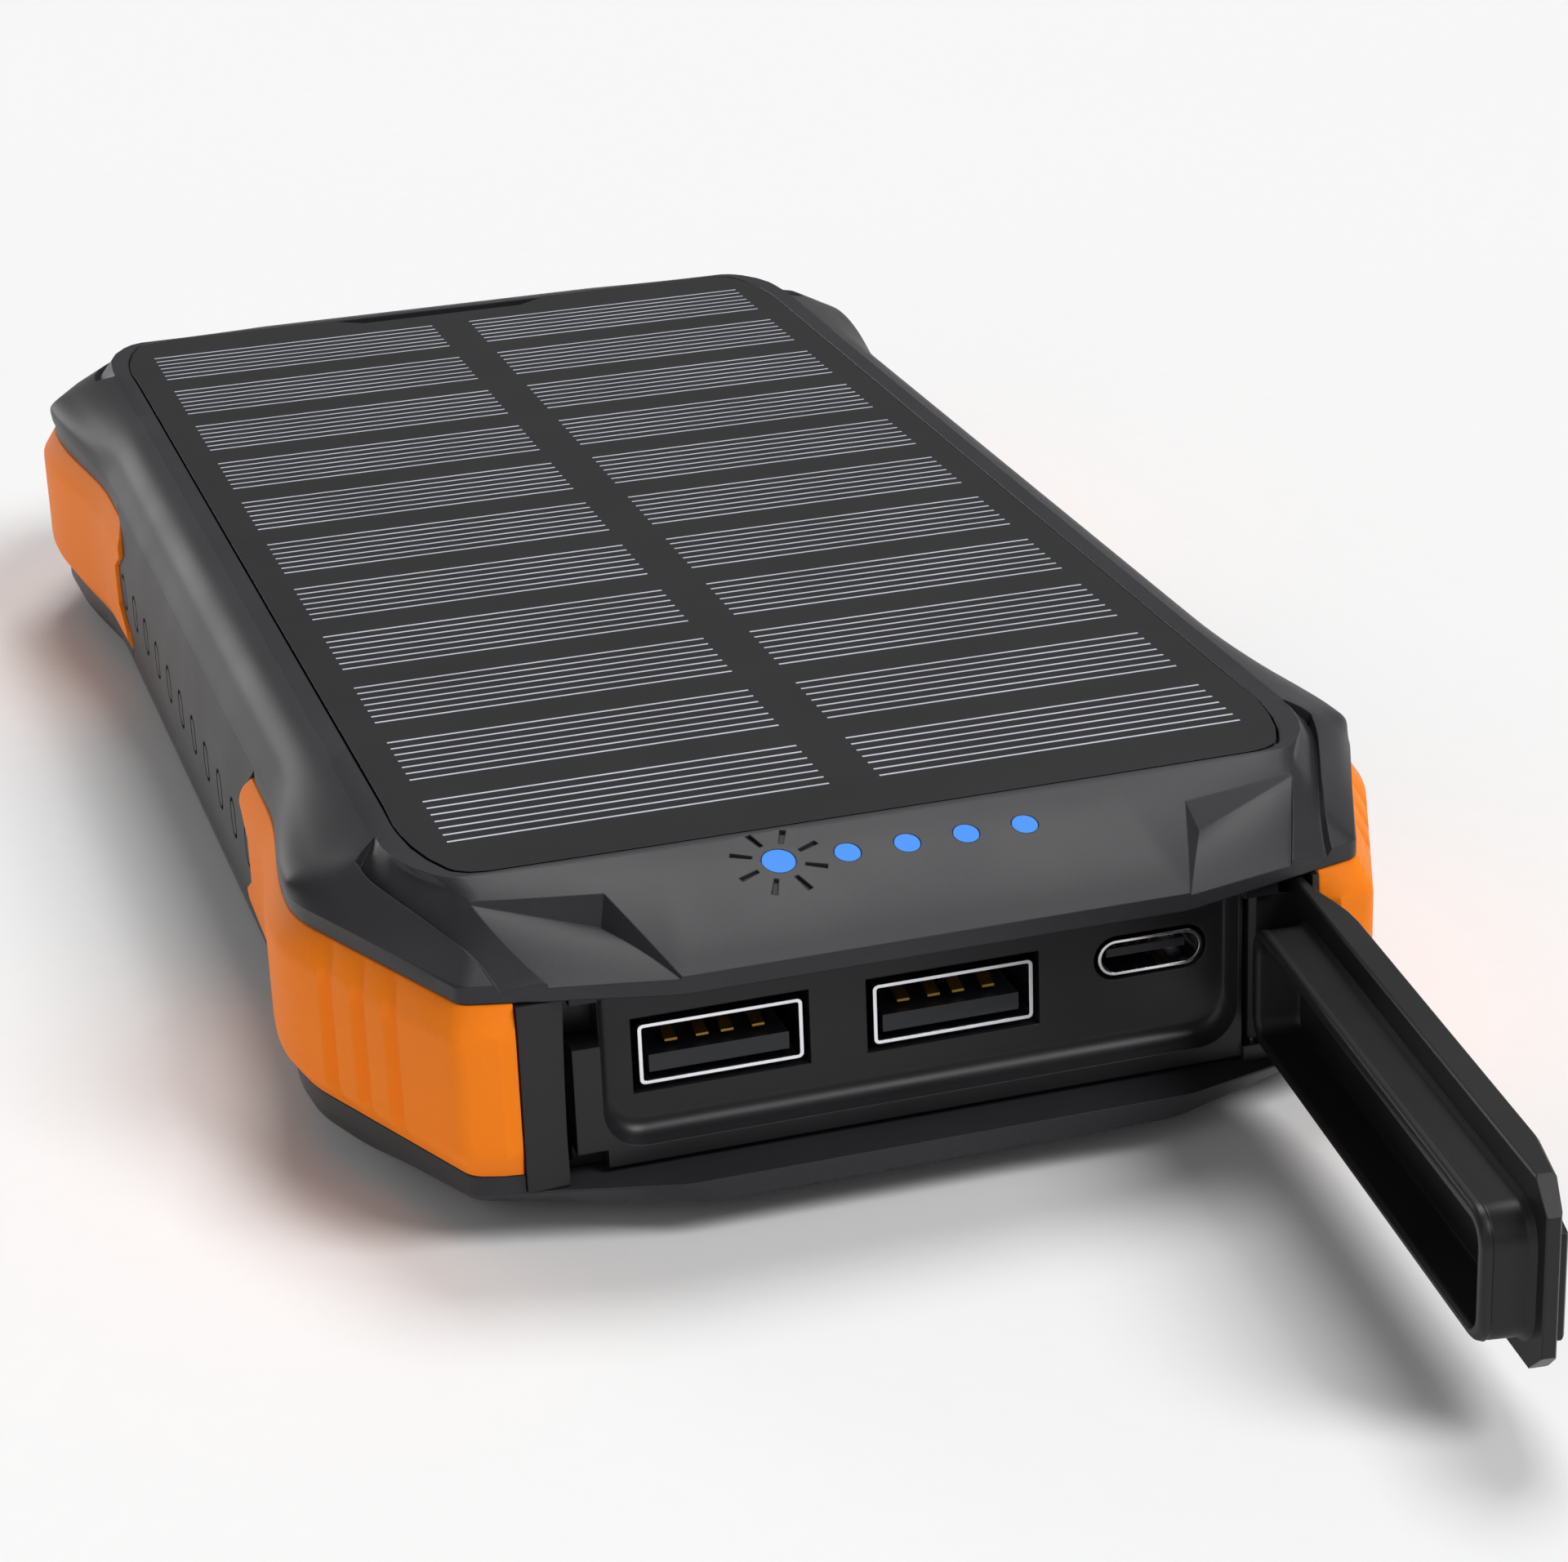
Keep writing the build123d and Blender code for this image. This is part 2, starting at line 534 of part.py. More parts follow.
with BuildPart() as solar_cells:
    with BuildSketch(Plane.XY.offset(THICK - CELL_DEEP)):
        with GridLocations(2 * column_x, ROW_PITCH, 2, ROWS):
            Rectangle(CELL_X, CELL_Y)
    extrude(amount=CELL_DEEP - 0.03)
save(solar_cells.part, "solar_cells")

with BuildPart() as cell_fingers:
    with BuildSketch(Plane.XY.offset(THICK - 0.03)):
        with GridLocations(2 * column_x, ROW_PITCH, 2, ROWS):
            with GridLocations(1, FINGER_PITCH, 1, FINGERS):
                Rectangle(CELL_X, FINGER_WIDTH)
    extrude(amount=0.03)
save(cell_fingers.part, "cell_fingers")

with BuildPart() as panel_adhesive:
    with BuildSketch(Plane.XY.offset(PANEL_SEAT)):
        RectangleRounded(2 * PANEL_HALF_X - 1, 2 * PANEL_HALF_Y - 1, 4)
        RectangleRounded(2 * PANEL_HALF_X - 9, 2 * PANEL_HALF_Y - 9, 2, mode=Mode.SUBTRACT)
    extrude(amount=THICK - PANEL_THICK - PANEL_SEAT)
save(panel_adhesive.part, "panel_adhesive")

with BuildPart() as solar_leads:
    for side in (-1, 1):
        block((side * 9 - 1, side * 9 + 1), (-72.8, -72.5), (PCB_Z[1], THICK - PANEL_THICK))
        block((side * 9 - 1, side * 9 + 1), (-72.5, -69.5), (PCB_Z[1], PCB_Z[1] + 0.3))
save(solar_leads.part, "solar_leads")

# ---------------------------------------------------------------- indicators
PIPE_FOOT = PCB_Z[1] + 0.9
with BuildPart() as sun_light_pipe:
    with BuildSketch(Plane.XY.offset(SHELL_TOP_JOINT + 0.1)):
        with Locations(SUN_XY):
            Circle(SUN_R)
    extrude(amount=THICK - SHELL_TOP_JOINT)
    add(top_form.part, mode=Mode.INTERSECT)
    with BuildSketch(Plane.XY.offset(PIPE_FOOT)):
        with Locations(SUN_XY):
            Circle(SUN_R)
    extrude(amount=SHELL_TOP_JOINT + 0.2 - PIPE_FOOT)
save(sun_light_pipe.part, "sun_light_pipe")

with BuildPart() as charge_light_pipes:
    with BuildSketch(Plane.XY.offset(SHELL_TOP_JOINT + 0.1)):
        with Locations(*[(x, DOTS_Y) for x in DOTS_X]):
            Circle(DOT_R)
    extrude(amount=THICK - SHELL_TOP_JOINT)
    add(top_form.part, mode=Mode.INTERSECT)
    with BuildSketch(Plane.XY.offset(PIPE_FOOT)):
        with Locations(*[(x, DOTS_Y) for x in DOTS_X]):
            Circle(DOT_R)
    extrude(amount=SHELL_TOP_JOINT + 0.2 - PIPE_FOOT)
save(charge_light_pipes.part, "charge_light_pipes")

with BuildPart() as indicator_leds:
    with BuildSketch(Plane.XY.offset(PCB_Z[1])):
        with Locations(SUN_XY, *[(x, DOTS_Y) for x in DOTS_X]):
            Rectangle(1.6, 0.9)
    extrude(amount=0.7)
save(indicator_leds.part, "indicator_leds")

# ---------------------------------------------------------------- main board
with BuildPart() as main_pcb:
    block((-PCB_HALF_X, PCB_HALF_X), PCB_Y, PCB_Z)
    with Locations(*[(x, y, 0) for x, y in PCB_SCREWS]):
        Cylinder(1.1, 50, mode=Mode.SUBTRACT)
    block(
        (USB_C[0] - USB_C_SIZE[0] / 2 - 0.1, USB_C[0] + USB_C_SIZE[0] / 2 + 0.1), (-84, -77.9), (15, 18),
        Mode.SUBTRACT,
    )
save(main_pcb.part, "main_pcb")

with BuildPart() as usb_a_shells:
    with BuildSketch(Plane.XZ.offset(-FACE_Y)):
        with Locations(*USB_A):
            RectangleRounded(*USB_A_SIZE, 0.45)
            RectangleRounded(
                USB_A_SIZE[0] - 2 * USB_A_WALL, USB_A_SIZE[1] - 2 * USB_A_WALL, 0.2, mode=Mode.SUBTRACT,
            )
    extrude(amount=-14)
    with BuildSketch(Plane.XZ.offset(72.3)):
        with Locations(*USB_A):
            RectangleRounded(*USB_A_SIZE, 0.45)
    extrude(amount=-0.3)
    # tabs up to the board
    for x, z in USB_A:
        for side in (-1, 1):
            block(
                (x + side * 6.1, x + side * 6.4), (-80, -77), (z + USB_A_SIZE[1] / 2 - 0.2, PCB_Z[0]),
            )
save(usb_a_shells.part, "usb_a_shells")

TONGUE_Z = (-1.9, -0.45)
with BuildPart() as usb_a_tongues:
    for x, z in USB_A:
        block((x - 5.6, x + 5.6), (-85.3, -74.5), (z + TONGUE_Z[0], z + TONGUE_Z[1]))
        block((x - 6.15, x + 6.15), (-74.6, -72.4), (z - 2.13, z + 2.13))
save(usb_a_tongues.part, "usb_a_tongues")

CONTACT_X = (-3.5, -1.0, 1.0, 3.5)
with BuildPart() as usb_a_contacts:
    for x, z in USB_A:
        for offset_x in CONTACT_X:
            with BuildSketch(Plane.YZ.offset(x + offset_x - 0.5)):
                with Locations((0, z + TONGUE_Z[1])):
                    Polygon(
                        (-84.2, 0.35), (-82.6, 0.75), (-79.0, 0.02), (-74.62, 0.02), (-74.62, 0.22),
                        (-79.0, 0.22), (-82.6, 0.95), (-84.2, 0.55), align=None,
                    )
            extrude(amount=1.0)
save(usb_a_contacts.part, "usb_a_contacts")

with BuildPart() as usb_c_shell:
    with BuildSketch(Plane.XZ.offset(-FACE_Y)):
        with Locations(USB_C):
            SlotOverall(*USB_C_SIZE)
            SlotOverall(USB_C_SIZE[0] - 2 * USB_C_WALL, USB_C_SIZE[1] - 2 * USB_C_WALL, mode=Mode.SUBTRACT)
    extrude(amount=-7.8)
    with BuildSketch(Plane.XZ.offset(78.4)):
        with Locations(USB_C):
            SlotOverall(*USB_C_SIZE)
    extrude(amount=0.3)
save(usb_c_shell.part, "usb_c_shell")

with BuildPart() as usb_c_tongue:
    block(
        (USB_C[0] - 3.3, USB_C[0] + 3.3), (-85.0, -78.8), (USB_C[1] - 0.35, USB_C[1] + 0.35),
    )
    block(
        (USB_C[0] - 2.7, USB_C[0] + 2.7), (-80.4, -78.75), (USB_C[1] - 1.12, USB_C[1] + 1.12),
    )
save(usb_c_tongue.part, "usb_c_tongue")

with BuildPart() as usb_c_contacts:
    for side in (-1, 1):
        for index in range(6):
            contact_x = USB_C[0] - 2.5 + index
            block(
                (contact_x - 0.15, contact_x + 0.15), (-84.6, -80.5),
                (USB_C[1] + side * 0.36, USB_C[1] + side * 0.42),
            )
save(usb_c_contacts.part, "usb_c_contacts")

with BuildPart() as power_inductors:
    for x in (-6.5, 12.0):
        with BuildSketch(Plane.XY.offset(PCB_Z[1])):
            with Locations((x, -66.0)):
                RectangleRounded(7.0, 6.6, 1.2)
        extrude(amount=3.4)
save(power_inductors.part, "power_inductors")

with BuildPart() as filter_capacitors:
    for x in (-20.0, -15.0, 21.0):
        with BuildSketch(Plane.XY.offset(PCB_Z[1])):
            with Locations((x, -65.5)):
                Circle(2.0)
        extrude(amount=3.6)
save(filter_capacitors.part, "filter_capacitors")

with BuildPart() as controller_chips:
    block((0.0, 5.0), (-70.5, -65.5), (PCB_Z[1], PCB_Z[1] + 0.9))
    block((-16.0, -12.0), (-78.0, -72.5), (PCB_Z[1], PCB_Z[1] + 0.9))
    block((14.0, 20.0), (-77.5, -72.5), (PCB_Z[1], PCB_Z[1] + 0.9))
save(controller_chips.part, "controller_chips")

with BuildPart() as pcb_screws:
    with BuildSketch(Plane.XY.offset(PCB_Z[1])):
        with Locations(*PCB_SCREWS):
            Circle(1.9)
    extrude(amount=1.1)
    with BuildSketch(Plane.XY.offset(PCB_Z[1])):
        with Locations(*PCB_SCREWS):
            Circle(0.9)
    extrude(amount=-6.0)
    with BuildSketch(Plane.XY.offset(PCB_Z[1] + 1.1)):
        with Locations(*PCB_SCREWS):
            Rectangle(2.2, 0.5)
            Rectangle(0.5, 2.2)
    extrude(amount=-0.6, mode=Mode.SUBTRACT)
save(pcb_screws.part, "pcb_screws")

# ---------------------------------------------------------------- batteries
def pouch(z_range):
    """Pouch cell: a rounded block with a thin sealed edge at its terminal end."""
    with BuildPart() as cell:
        with BuildSketch(Plane.XY.offset(z_range[0])):
            with Locations((0, sum(BATTERY_Y) / 2)):
                RectangleRounded(2 * CELL_HALF_X, BATTERY_Y[1] - BATTERY_Y[0], 2)
        extrude(amount=z_range[1] - z_range[0])
        fillet(cell.faces().filter_by(Axis.Z).edges(), 0.8)
        middle = sum(z_range) / 2
        block(
            (-CELL_HALF_X + 3, CELL_HALF_X - 3), (BATTERY_Y[0] - 3, BATTERY_Y[0] + 1), (middle - 0.3, middle + 0.3),
        )
    return cell.part


save(pouch(BATTERY_Z[0]), "battery_cell_lower")
save(pouch(BATTERY_Z[1]), "battery_cell_upper")

with BuildPart() as battery_tape:
    block((-26, 26), (BATTERY_Y[0] + 6, BATTERY_Y[1] - 6), (BATTERY_Z[0][1], BATTERY_Z[1][0]))
save(battery_tape.part, "battery_tape")

with BuildPart() as battery_foam:
    for y in (-30.0, 5.0, 40.0):
        block((-24, 24), (y - 8, y + 8), (WALL, BATTERY_Z[0][0]))
        block((-24, 24), (y - 8, y + 8), (BATTERY_Z[1][1], 23.4))
save(battery_foam.part, "battery_foam")

with BuildPart() as protection_board:
    block((-24, 24), (-58.6, -57.6), (5.0, 15.6))
save(protection_board.part, "protection_board")

with BuildPart() as battery_tabs:
    for x in (-14.0, 14.0):
        for low, high in BATTERY_Z:
            middle = (low + high) / 2
            block((x - 3, x + 3), (-57.6, BATTERY_Y[0] - 3), (middle - 0.1, middle + 0.1))
            block((x - 3, x + 3), (-57.6, -57.4), (min(middle, 13.0), middle + 0.1))
save(battery_tabs.part, "battery_tabs")

# ---------------------------------------------------------------- case screws
with BuildPart() as case_screws:
    with BuildSketch(Plane.XY.offset(0.7)):
        with GridLocations(2 * CASE_SCREWS[0], 2 * CASE_SCREWS[1], 2, 2):
            Circle(2.3)
    extrude(amount=1.9)
    with BuildSketch(Plane.XY.offset(2.5)):
        with GridLocations(2 * CASE_SCREWS[0], 2 * CASE_SCREWS[1], 2, 2):
            Circle(1.15)
    extrude(amount=11.0)
    with BuildSketch(Plane.XY.offset(0.7)):
        with GridLocations(2 * CASE_SCREWS[0], 2 * CASE_SCREWS[1], 2, 2):
            Rectangle(2.6, 0.6)
            Rectangle(0.6, 2.6)
    extrude(amount=0.9, mode=Mode.SUBTRACT)
save(case_screws.part, "case_screws")

# ---------------------------------------------------------------- power button
STEM_TIP = 36.4
with BuildPart() as power_button:
    with BuildSketch(Plane.YZ.offset(38.6)):
        with Locations((BUTTON_Y, BUTTON_Z)):
            SlotOverall(*BUTTON_SIZE)
    extrude(amount=43.2 + BUTTON_PROUD - 38.6)
    fillet(power_button.faces().sort_by(Axis.X)[-1].edges(), 0.4)
    # collar that keeps it behind the wall
    with BuildSketch(Plane.YZ.offset(38.2)):
        with Locations((BUTTON_Y, BUTTON_Z)):
            SlotOverall(BUTTON_SIZE[0] + 2.4, BUTTON_SIZE[1] + 2.4)
    extrude(amount=1.0)
    # stem that presses the switch
    with BuildSketch(Plane.YZ.offset(STEM_TIP)):
        with Locations((BUTTON_Y, BUTTON_Z)):
            Circle(1.1)
    extrude(amount=38.3 - STEM_TIP)
save(power_button.part, "power_button")

with BuildPart() as button_board:
    block(BOARD_X, (BUTTON_Y - 9.5, BUTTON_Y + 9.5), (9.6, 17.4))
save(button_board.part, "button_board")

with BuildPart() as tact_switch:
    block((BOARD_X[1], 35.4), (BUTTON_Y - 2.4, BUTTON_Y + 2.4), (BUTTON_Z - 2.4, BUTTON_Z + 2.4))
    with BuildSketch(Plane.YZ.offset(35.3)):
        with Locations((BUTTON_Y, BUTTON_Z)):
            Circle(1.2)
    extrude(amount=0.5)
save(tact_switch.part, "tact_switch")

CABLE_ROUTE = ((32.85, -22.0), (32.85, -50.0), (30.6, -57.0), (30.6, -64.0))
with BuildPart() as button_flat_cable:
    with BuildSketch(Plane.XY.offset(11.0)):
        with BuildLine() as route:
            FilletPolyline(*CABLE_ROUTE, radius=4)
        trace(route.line, line_width=0.2)
    extrude(amount=5.0)
save(button_flat_cable.part, "button_flat_cable")
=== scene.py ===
"""Solar phone charger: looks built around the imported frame.

Lengths are in millimetres until a mesh is made. +X is to the right seen from the port end,
+Y is towards the far end and +Z is up.
"""
import json
import math

import bmesh
import bpy
import numpy as np
from mathutils import Matrix, Vector
from mathutils.bvhtree import BVHTree


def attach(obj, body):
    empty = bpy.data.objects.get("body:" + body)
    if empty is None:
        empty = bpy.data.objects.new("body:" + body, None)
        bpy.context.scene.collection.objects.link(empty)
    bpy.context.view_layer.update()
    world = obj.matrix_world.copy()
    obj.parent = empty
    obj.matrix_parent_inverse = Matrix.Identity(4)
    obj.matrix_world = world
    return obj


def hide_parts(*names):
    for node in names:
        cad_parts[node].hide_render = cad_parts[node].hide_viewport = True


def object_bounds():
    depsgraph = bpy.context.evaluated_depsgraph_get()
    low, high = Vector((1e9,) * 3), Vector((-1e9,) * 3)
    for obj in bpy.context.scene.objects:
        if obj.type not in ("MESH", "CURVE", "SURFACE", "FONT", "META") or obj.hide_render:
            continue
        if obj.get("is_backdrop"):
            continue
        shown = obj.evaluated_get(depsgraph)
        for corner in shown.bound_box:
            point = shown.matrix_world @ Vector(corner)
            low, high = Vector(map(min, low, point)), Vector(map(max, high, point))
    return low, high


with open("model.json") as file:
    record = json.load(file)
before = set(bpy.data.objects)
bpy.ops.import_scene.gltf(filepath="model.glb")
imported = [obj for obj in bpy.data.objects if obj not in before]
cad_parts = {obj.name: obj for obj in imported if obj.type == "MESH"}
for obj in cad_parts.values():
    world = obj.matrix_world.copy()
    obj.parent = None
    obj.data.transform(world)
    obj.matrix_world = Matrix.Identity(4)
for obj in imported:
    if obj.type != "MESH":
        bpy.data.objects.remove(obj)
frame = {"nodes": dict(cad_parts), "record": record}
cad_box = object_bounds()

MM = 0.001
TOP = 27.0                      # height of the panel and the bezel
SKY = 34.0                      # height that cutters reach, well above the shell
HOUSING = "housing"
COVER = "port_cover"

# ------------------------------------------------------------------ camera and light
CAMERA_PLACE = Vector((-87.90, -348.84, 147.32))
FORWARD = Vector((0.26179794, 0.88602399, -0.382653))
UPWARD = Vector((0.14654101, 0.35539155, 0.92315902))
RIGHT = FORWARD.cross(UPWARD)

camera_data = bpy.data.cameras.new("camera")
camera_data.lens = 91.156
camera_data.sensor_width = 36.0
camera_data.shift_x = 0.00104
camera_data.shift_y = 0.00182
camera_data.clip_start = 0.01
camera_data.clip_end = 20.0
camera = bpy.data.objects.new("camera", camera_data)
bpy.context.collection.objects.link(camera)
camera.matrix_world = Matrix.Translation(CAMERA_PLACE * MM) @ Matrix((
    (RIGHT.x, UPWARD.x, -FORWARD.x),
    (RIGHT.y, UPWARD.y, -FORWARD.y),
    (RIGHT.z, UPWARD.z, -FORWARD.z),
)).to_4x4()
bpy.context.scene.camera = camera


def sun_light(name, way_to_light, strength, spread):
    """A distant soft lamp. The way points from the object to the lamp."""
    data = bpy.data.lights.new(name, "SUN")
    data.energy = strength
    data.angle = math.radians(spread)
    lamp = bpy.data.objects.new(name, data)
    lamp.rotation_mode = "QUATERNION"
    lamp.rotation_quaternion = Vector(way_to_light).to_track_quat("Z", "Y")
    bpy.context.collection.objects.link(lamp)


sun_light("right_high", (0.50, -0.50, 0.75), 1.75, 28)
sun_light("overhead", (0.24, 0.40, 0.88), 1.35, 26)
sun_light("left_rim", (-0.42, 0.88, 0.20), 0.42, 22)
sun_light("left_front", (-0.60, -0.70, 0.45), 0.35, 40)

world = bpy.data.worlds.new("studio")
world.use_nodes = True
world.node_tree.nodes["Background"].inputs["Color"].default_value = (1, 1, 1, 1)
world.node_tree.nodes["Background"].inputs["Strength"].default_value = 0.16
bpy.context.scene.world = world
bpy.context.scene.view_settings.view_transform = "Standard"
bpy.context.scene.view_settings.look = "None"


# ------------------------------------------------------------------ materials
BUMP_METRES = 0.00003
BUMP_PER_GRAIN = 1.6
EDGE_SAMPLES = 6
COAT_ROUGHNESS = 0.2


def srgb(red, green, blue):
    """Display colour, 0 to 255, as a linear colour."""
    def linear(value):
        value /= 255
        return value / 12.92 if value <= 0.04045 else ((value + 0.055) / 1.055) ** 2.4
    return (linear(red), linear(green), linear(blue), 1.0)


def surface(
    name, colour, rough=0.5, grain=0.12, grain_mm=0.35, shade=0.10, shade_mm=14.0,
    metal=0.0, rough_change=0.08, edge=0.0, specular=0.5, coat=0.0, emission=None, glow=0.0,
):
    """Procedural material: grain in the bump, slow changes of shade and roughness, eased edges."""
    material = bpy.data.materials.new(name)
    material.use_nodes = True
    nodes, links = material.node_tree.nodes, material.node_tree.links
    shader = nodes["Principled BSDF"]
    shader.inputs["Metallic"].default_value = metal
    shader.inputs["Specular IOR Level"].default_value = specular
    if coat:
        shader.inputs["Coat Weight"].default_value = coat
        shader.inputs["Coat Roughness"].default_value = COAT_ROUGHNESS
    place = nodes.new("ShaderNodeTexCoord")
    slow = nodes.new("ShaderNodeTexNoise")
    slow.inputs["Scale"].default_value = 1000.0 / shade_mm
    slow.inputs["Detail"].default_value = 3.0
    links.new(place.outputs["Object"], slow.inputs["Vector"])
    ramp = nodes.new("ShaderNodeValToRGB")
    low, high = ramp.color_ramp.elements
    low.position, high.position = 0.3, 0.7
    low.color = tuple(c * (1 - shade) for c in colour[:3]) + (1.0,)
    high.color = tuple(min(1.0, c * (1 + shade)) for c in colour[:3]) + (1.0,)
    links.new(slow.outputs["Fac"], ramp.inputs["Fac"])
    fine = nodes.new("ShaderNodeTexNoise")
    fine.inputs["Scale"].default_value = 1000.0 / grain_mm
    fine.inputs["Detail"].default_value = 2.0
    links.new(place.outputs["Object"], fine.inputs["Vector"])
    speck = nodes.new("ShaderNodeMix")
    speck.data_type = "RGBA"
    speck.blend_type = "MULTIPLY"
    speck.inputs["Factor"].default_value = 1.0
    tone = nodes.new("ShaderNodeMapRange")
    tone.inputs["To Min"].default_value = 1.0 - grain
    tone.inputs["To Max"].default_value = 1.0 + grain
    links.new(fine.outputs["Fac"], tone.inputs["Value"])
    links.new(ramp.outputs["Color"], speck.inputs["A"])
    links.new(tone.outputs["Result"], speck.inputs["B"])
    links.new(speck.outputs["Result"], shader.inputs["Base Color"])
    gloss = nodes.new("ShaderNodeMapRange")
    gloss.inputs["To Min"].default_value = max(0.02, rough - rough_change)
    gloss.inputs["To Max"].default_value = min(1.0, rough + rough_change)
    links.new(slow.outputs["Fac"], gloss.inputs["Value"])
    links.new(gloss.outputs["Result"], shader.inputs["Roughness"])
    bump = nodes.new("ShaderNodeBump")
    bump.inputs["Strength"].default_value = min(1.0, grain * BUMP_PER_GRAIN)
    bump.inputs["Distance"].default_value = BUMP_METRES
    links.new(fine.outputs["Fac"], bump.inputs["Height"])
    if edge:
        ease = nodes.new("ShaderNodeBevel")
        ease.samples = EDGE_SAMPLES
        ease.inputs["Radius"].default_value = edge * MM
        links.new(ease.outputs["Normal"], bump.inputs["Normal"])
    links.new(bump.outputs["Normal"], shader.inputs["Normal"])
    if emission:
        shader.inputs["Emission Color"].default_value = emission
        shader.inputs["Emission Strength"].default_value = glow
    return material


LIT = {"grain": 0.05, "emission": srgb(66, 146, 240), "glow": 0.72, "specular": 0.1}
MATERIALS = {
    "body_plastic": surface("body_plastic", srgb(46, 46, 49), 0.44, edge=0.14, specular=0.27),
    "frame_plastic": surface("frame_plastic", srgb(34, 34, 36), 0.44, edge=0.12, specular=0.30),
    "grip_plastic": surface("grip_plastic", srgb(38, 38, 41), 0.48, edge=0.12, specular=0.26),
    # The orange rubber also glows faintly in its own colour: painted light that keeps it bright where it lies
    # in shade.
    "orange_rubber": surface(
        "orange_rubber", srgb(245, 130, 26), 0.52, grain=0.05, shade=0.04, edge=0.30, specular=0.10,
        emission=srgb(245, 120, 25), glow=0.10,
    ),
    "port_plastic": surface("port_plastic", srgb(34, 34, 36), 0.34, grain=0.08, edge=0.15, specular=0.3),
    "black_rubber": surface("black_rubber", srgb(30, 30, 32), 0.40, grain=0.10, edge=0.15, specular=0.3),
    "steel": surface("steel", srgb(190, 190, 192), 0.25, metal=1.0, grain=0.04, grain_mm=0.1),
    "dark_steel": surface("dark_steel", srgb(92, 92, 96), 0.35, metal=1.0, grain=0.06, grain_mm=0.1),
    "plated_steel": surface(
        "plated_steel", srgb(235, 236, 240), 0.16, metal=1.0, grain=0.03, grain_mm=0.2, edge=0.08
    ),
    "laminate": surface("laminate", srgb(37, 37, 39), 0.44, grain=0.10, shade=0.05, edge=0.06, specular=0.22),
    "silicon": surface(
        "silicon", srgb(37, 38, 43), 0.42, grain=0.10, shade=0.08, shade_mm=9.0, specular=0.22,
    ),
    "silver_lines": surface("silver_lines", srgb(205, 207, 220), 0.45, grain=0.10, grain_mm=0.5),
    "adhesive": surface("adhesive", srgb(170, 170, 168), 0.8, grain=0.2),
    "clear_light": surface("clear_light", srgb(30, 80, 160), 0.4, **LIT),
    "blue_light": surface("blue_light", srgb(30, 80, 160), 0.4, **LIT),
    "led_white": surface("led_white", srgb(235, 235, 220), 0.4),
    "board_green": surface("board_green", srgb(17, 30, 25), 0.4, shade=0.2, shade_mm=3.0),
    "tongue_plastic": surface("tongue_plastic", srgb(22, 24, 30), 0.35, grain=0.05),
    "gold": surface("gold", srgb(222, 178, 92), 0.28, metal=1.0, grain=0.05, grain_mm=0.1),
    "ferrite": surface("ferrite", srgb(80, 80, 80), 0.6, grain=0.3, grain_mm=0.2),
    "can_aluminium": surface("can_aluminium", srgb(205, 205, 206), 0.3, metal=1.0),
    "chip_black": surface("chip_black", srgb(34, 34, 34), 0.5),
    "pouch_foil": surface("pouch_foil", srgb(190, 191, 194), 0.35, metal=1.0, grain=0.2, grain_mm=1.0),
    "tape": surface("tape", srgb(222, 222, 214), 0.6),
    "foam": surface("foam", srgb(48, 48, 48), 0.95, grain=0.5, grain_mm=0.5),
    "nickel": surface("nickel", srgb(196, 194, 188), 0.3, metal=1.0),
    "copper": surface("copper", srgb(214, 150, 105), 0.3, metal=1.0),
    "switch_black": surface("switch_black", srgb(40, 40, 40), 0.5),
    "polyimide": surface("polyimide", srgb(180, 120, 40), 0.35, coat=0.3),
    "socket_dark": surface("socket_dark", srgb(12, 12, 13), 0.6, grain=0.05),
}
SLOT_OF = {row["node"]: row["material_slot"] for row in frame["record"]["subparts"]}
for node, thing in frame["nodes"].items():
    thing.data.materials.clear()
    thing.data.materials.append(MATERIALS[SLOT_OF[node]])


# ------------------------------------------------------------------ mesh tools
WELD_METRES = 1e-7


def piece(name, points, faces, material, body=HOUSING, stands_for=(), slot=None, crease=28.0):
    """A mesh piece from points in millimetres. Edges sharper than the crease stay crisp."""
    mesh = bpy.data.meshes.new(name)
    mesh.from_pydata([tuple(float(v) * MM for v in p) for p in points], [], [list(f) for f in faces])
    mesh.validate()
    thing = bpy.data.objects.new(name, mesh)
    bpy.context.collection.objects.link(thing)
    weld(thing, crease)
    if material:
        mesh.materials.append(MATERIALS[material])
        finish_piece(thing, body, stands_for, slot or material)
    return thing


def weld(thing, crease=28.0):
    """Joins doubled points, turns faces outward and marks the crisp edges."""
    work = bmesh.new()
    work.from_mesh(thing.data)
    bmesh.ops.remove_doubles(work, verts=work.verts, dist=WELD_METRES)
    bmesh.ops.dissolve_degenerate(work, edges=work.edges, dist=WELD_METRES)
    bmesh.ops.recalc_face_normals(work, faces=work.faces)
    work.to_mesh(thing.data)
    work.free()
    thing.data.shade_smooth()
    thing.data.set_sharp_from_angle(angle=math.radians(crease))


def finish_piece(thing, body, stands_for, slot):
    """Rides on its body and stands for its nodes. The slot is not used."""
    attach(thing, body)
    if stands_for:
        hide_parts(*stands_for)


def apply_modifiers(thing):
    """Bakes the modifiers of a mesh into it."""
    graph = bpy.context.evaluated_depsgraph_get()
    graph.update()
    made = bpy.data.meshes.new_from_object(thing.evaluated_get(graph))
    thing.modifiers.clear()
    thing.data = made


def cut(thing, cutters, how="DIFFERENCE", crease=28.0):
    """Takes cutters away from a mesh, or joins or keeps them, and removes them."""
    for cutter in cutters:
        change = thing.modifiers.new("cut", "BOOLEAN")
        change.operation = how
        change.solver = "EXACT"
        change.object = cutter
        apply_modifiers(thing)
        bpy.data.objects.remove(cutter)
    weld(thing, crease)


def mirrored(points, x=1, y=1, z=1):
    """Points mirrored about the middle planes, where a factor is -1."""
    return [(p[0] * x, p[1] * y, p[2] * z) for p in points]


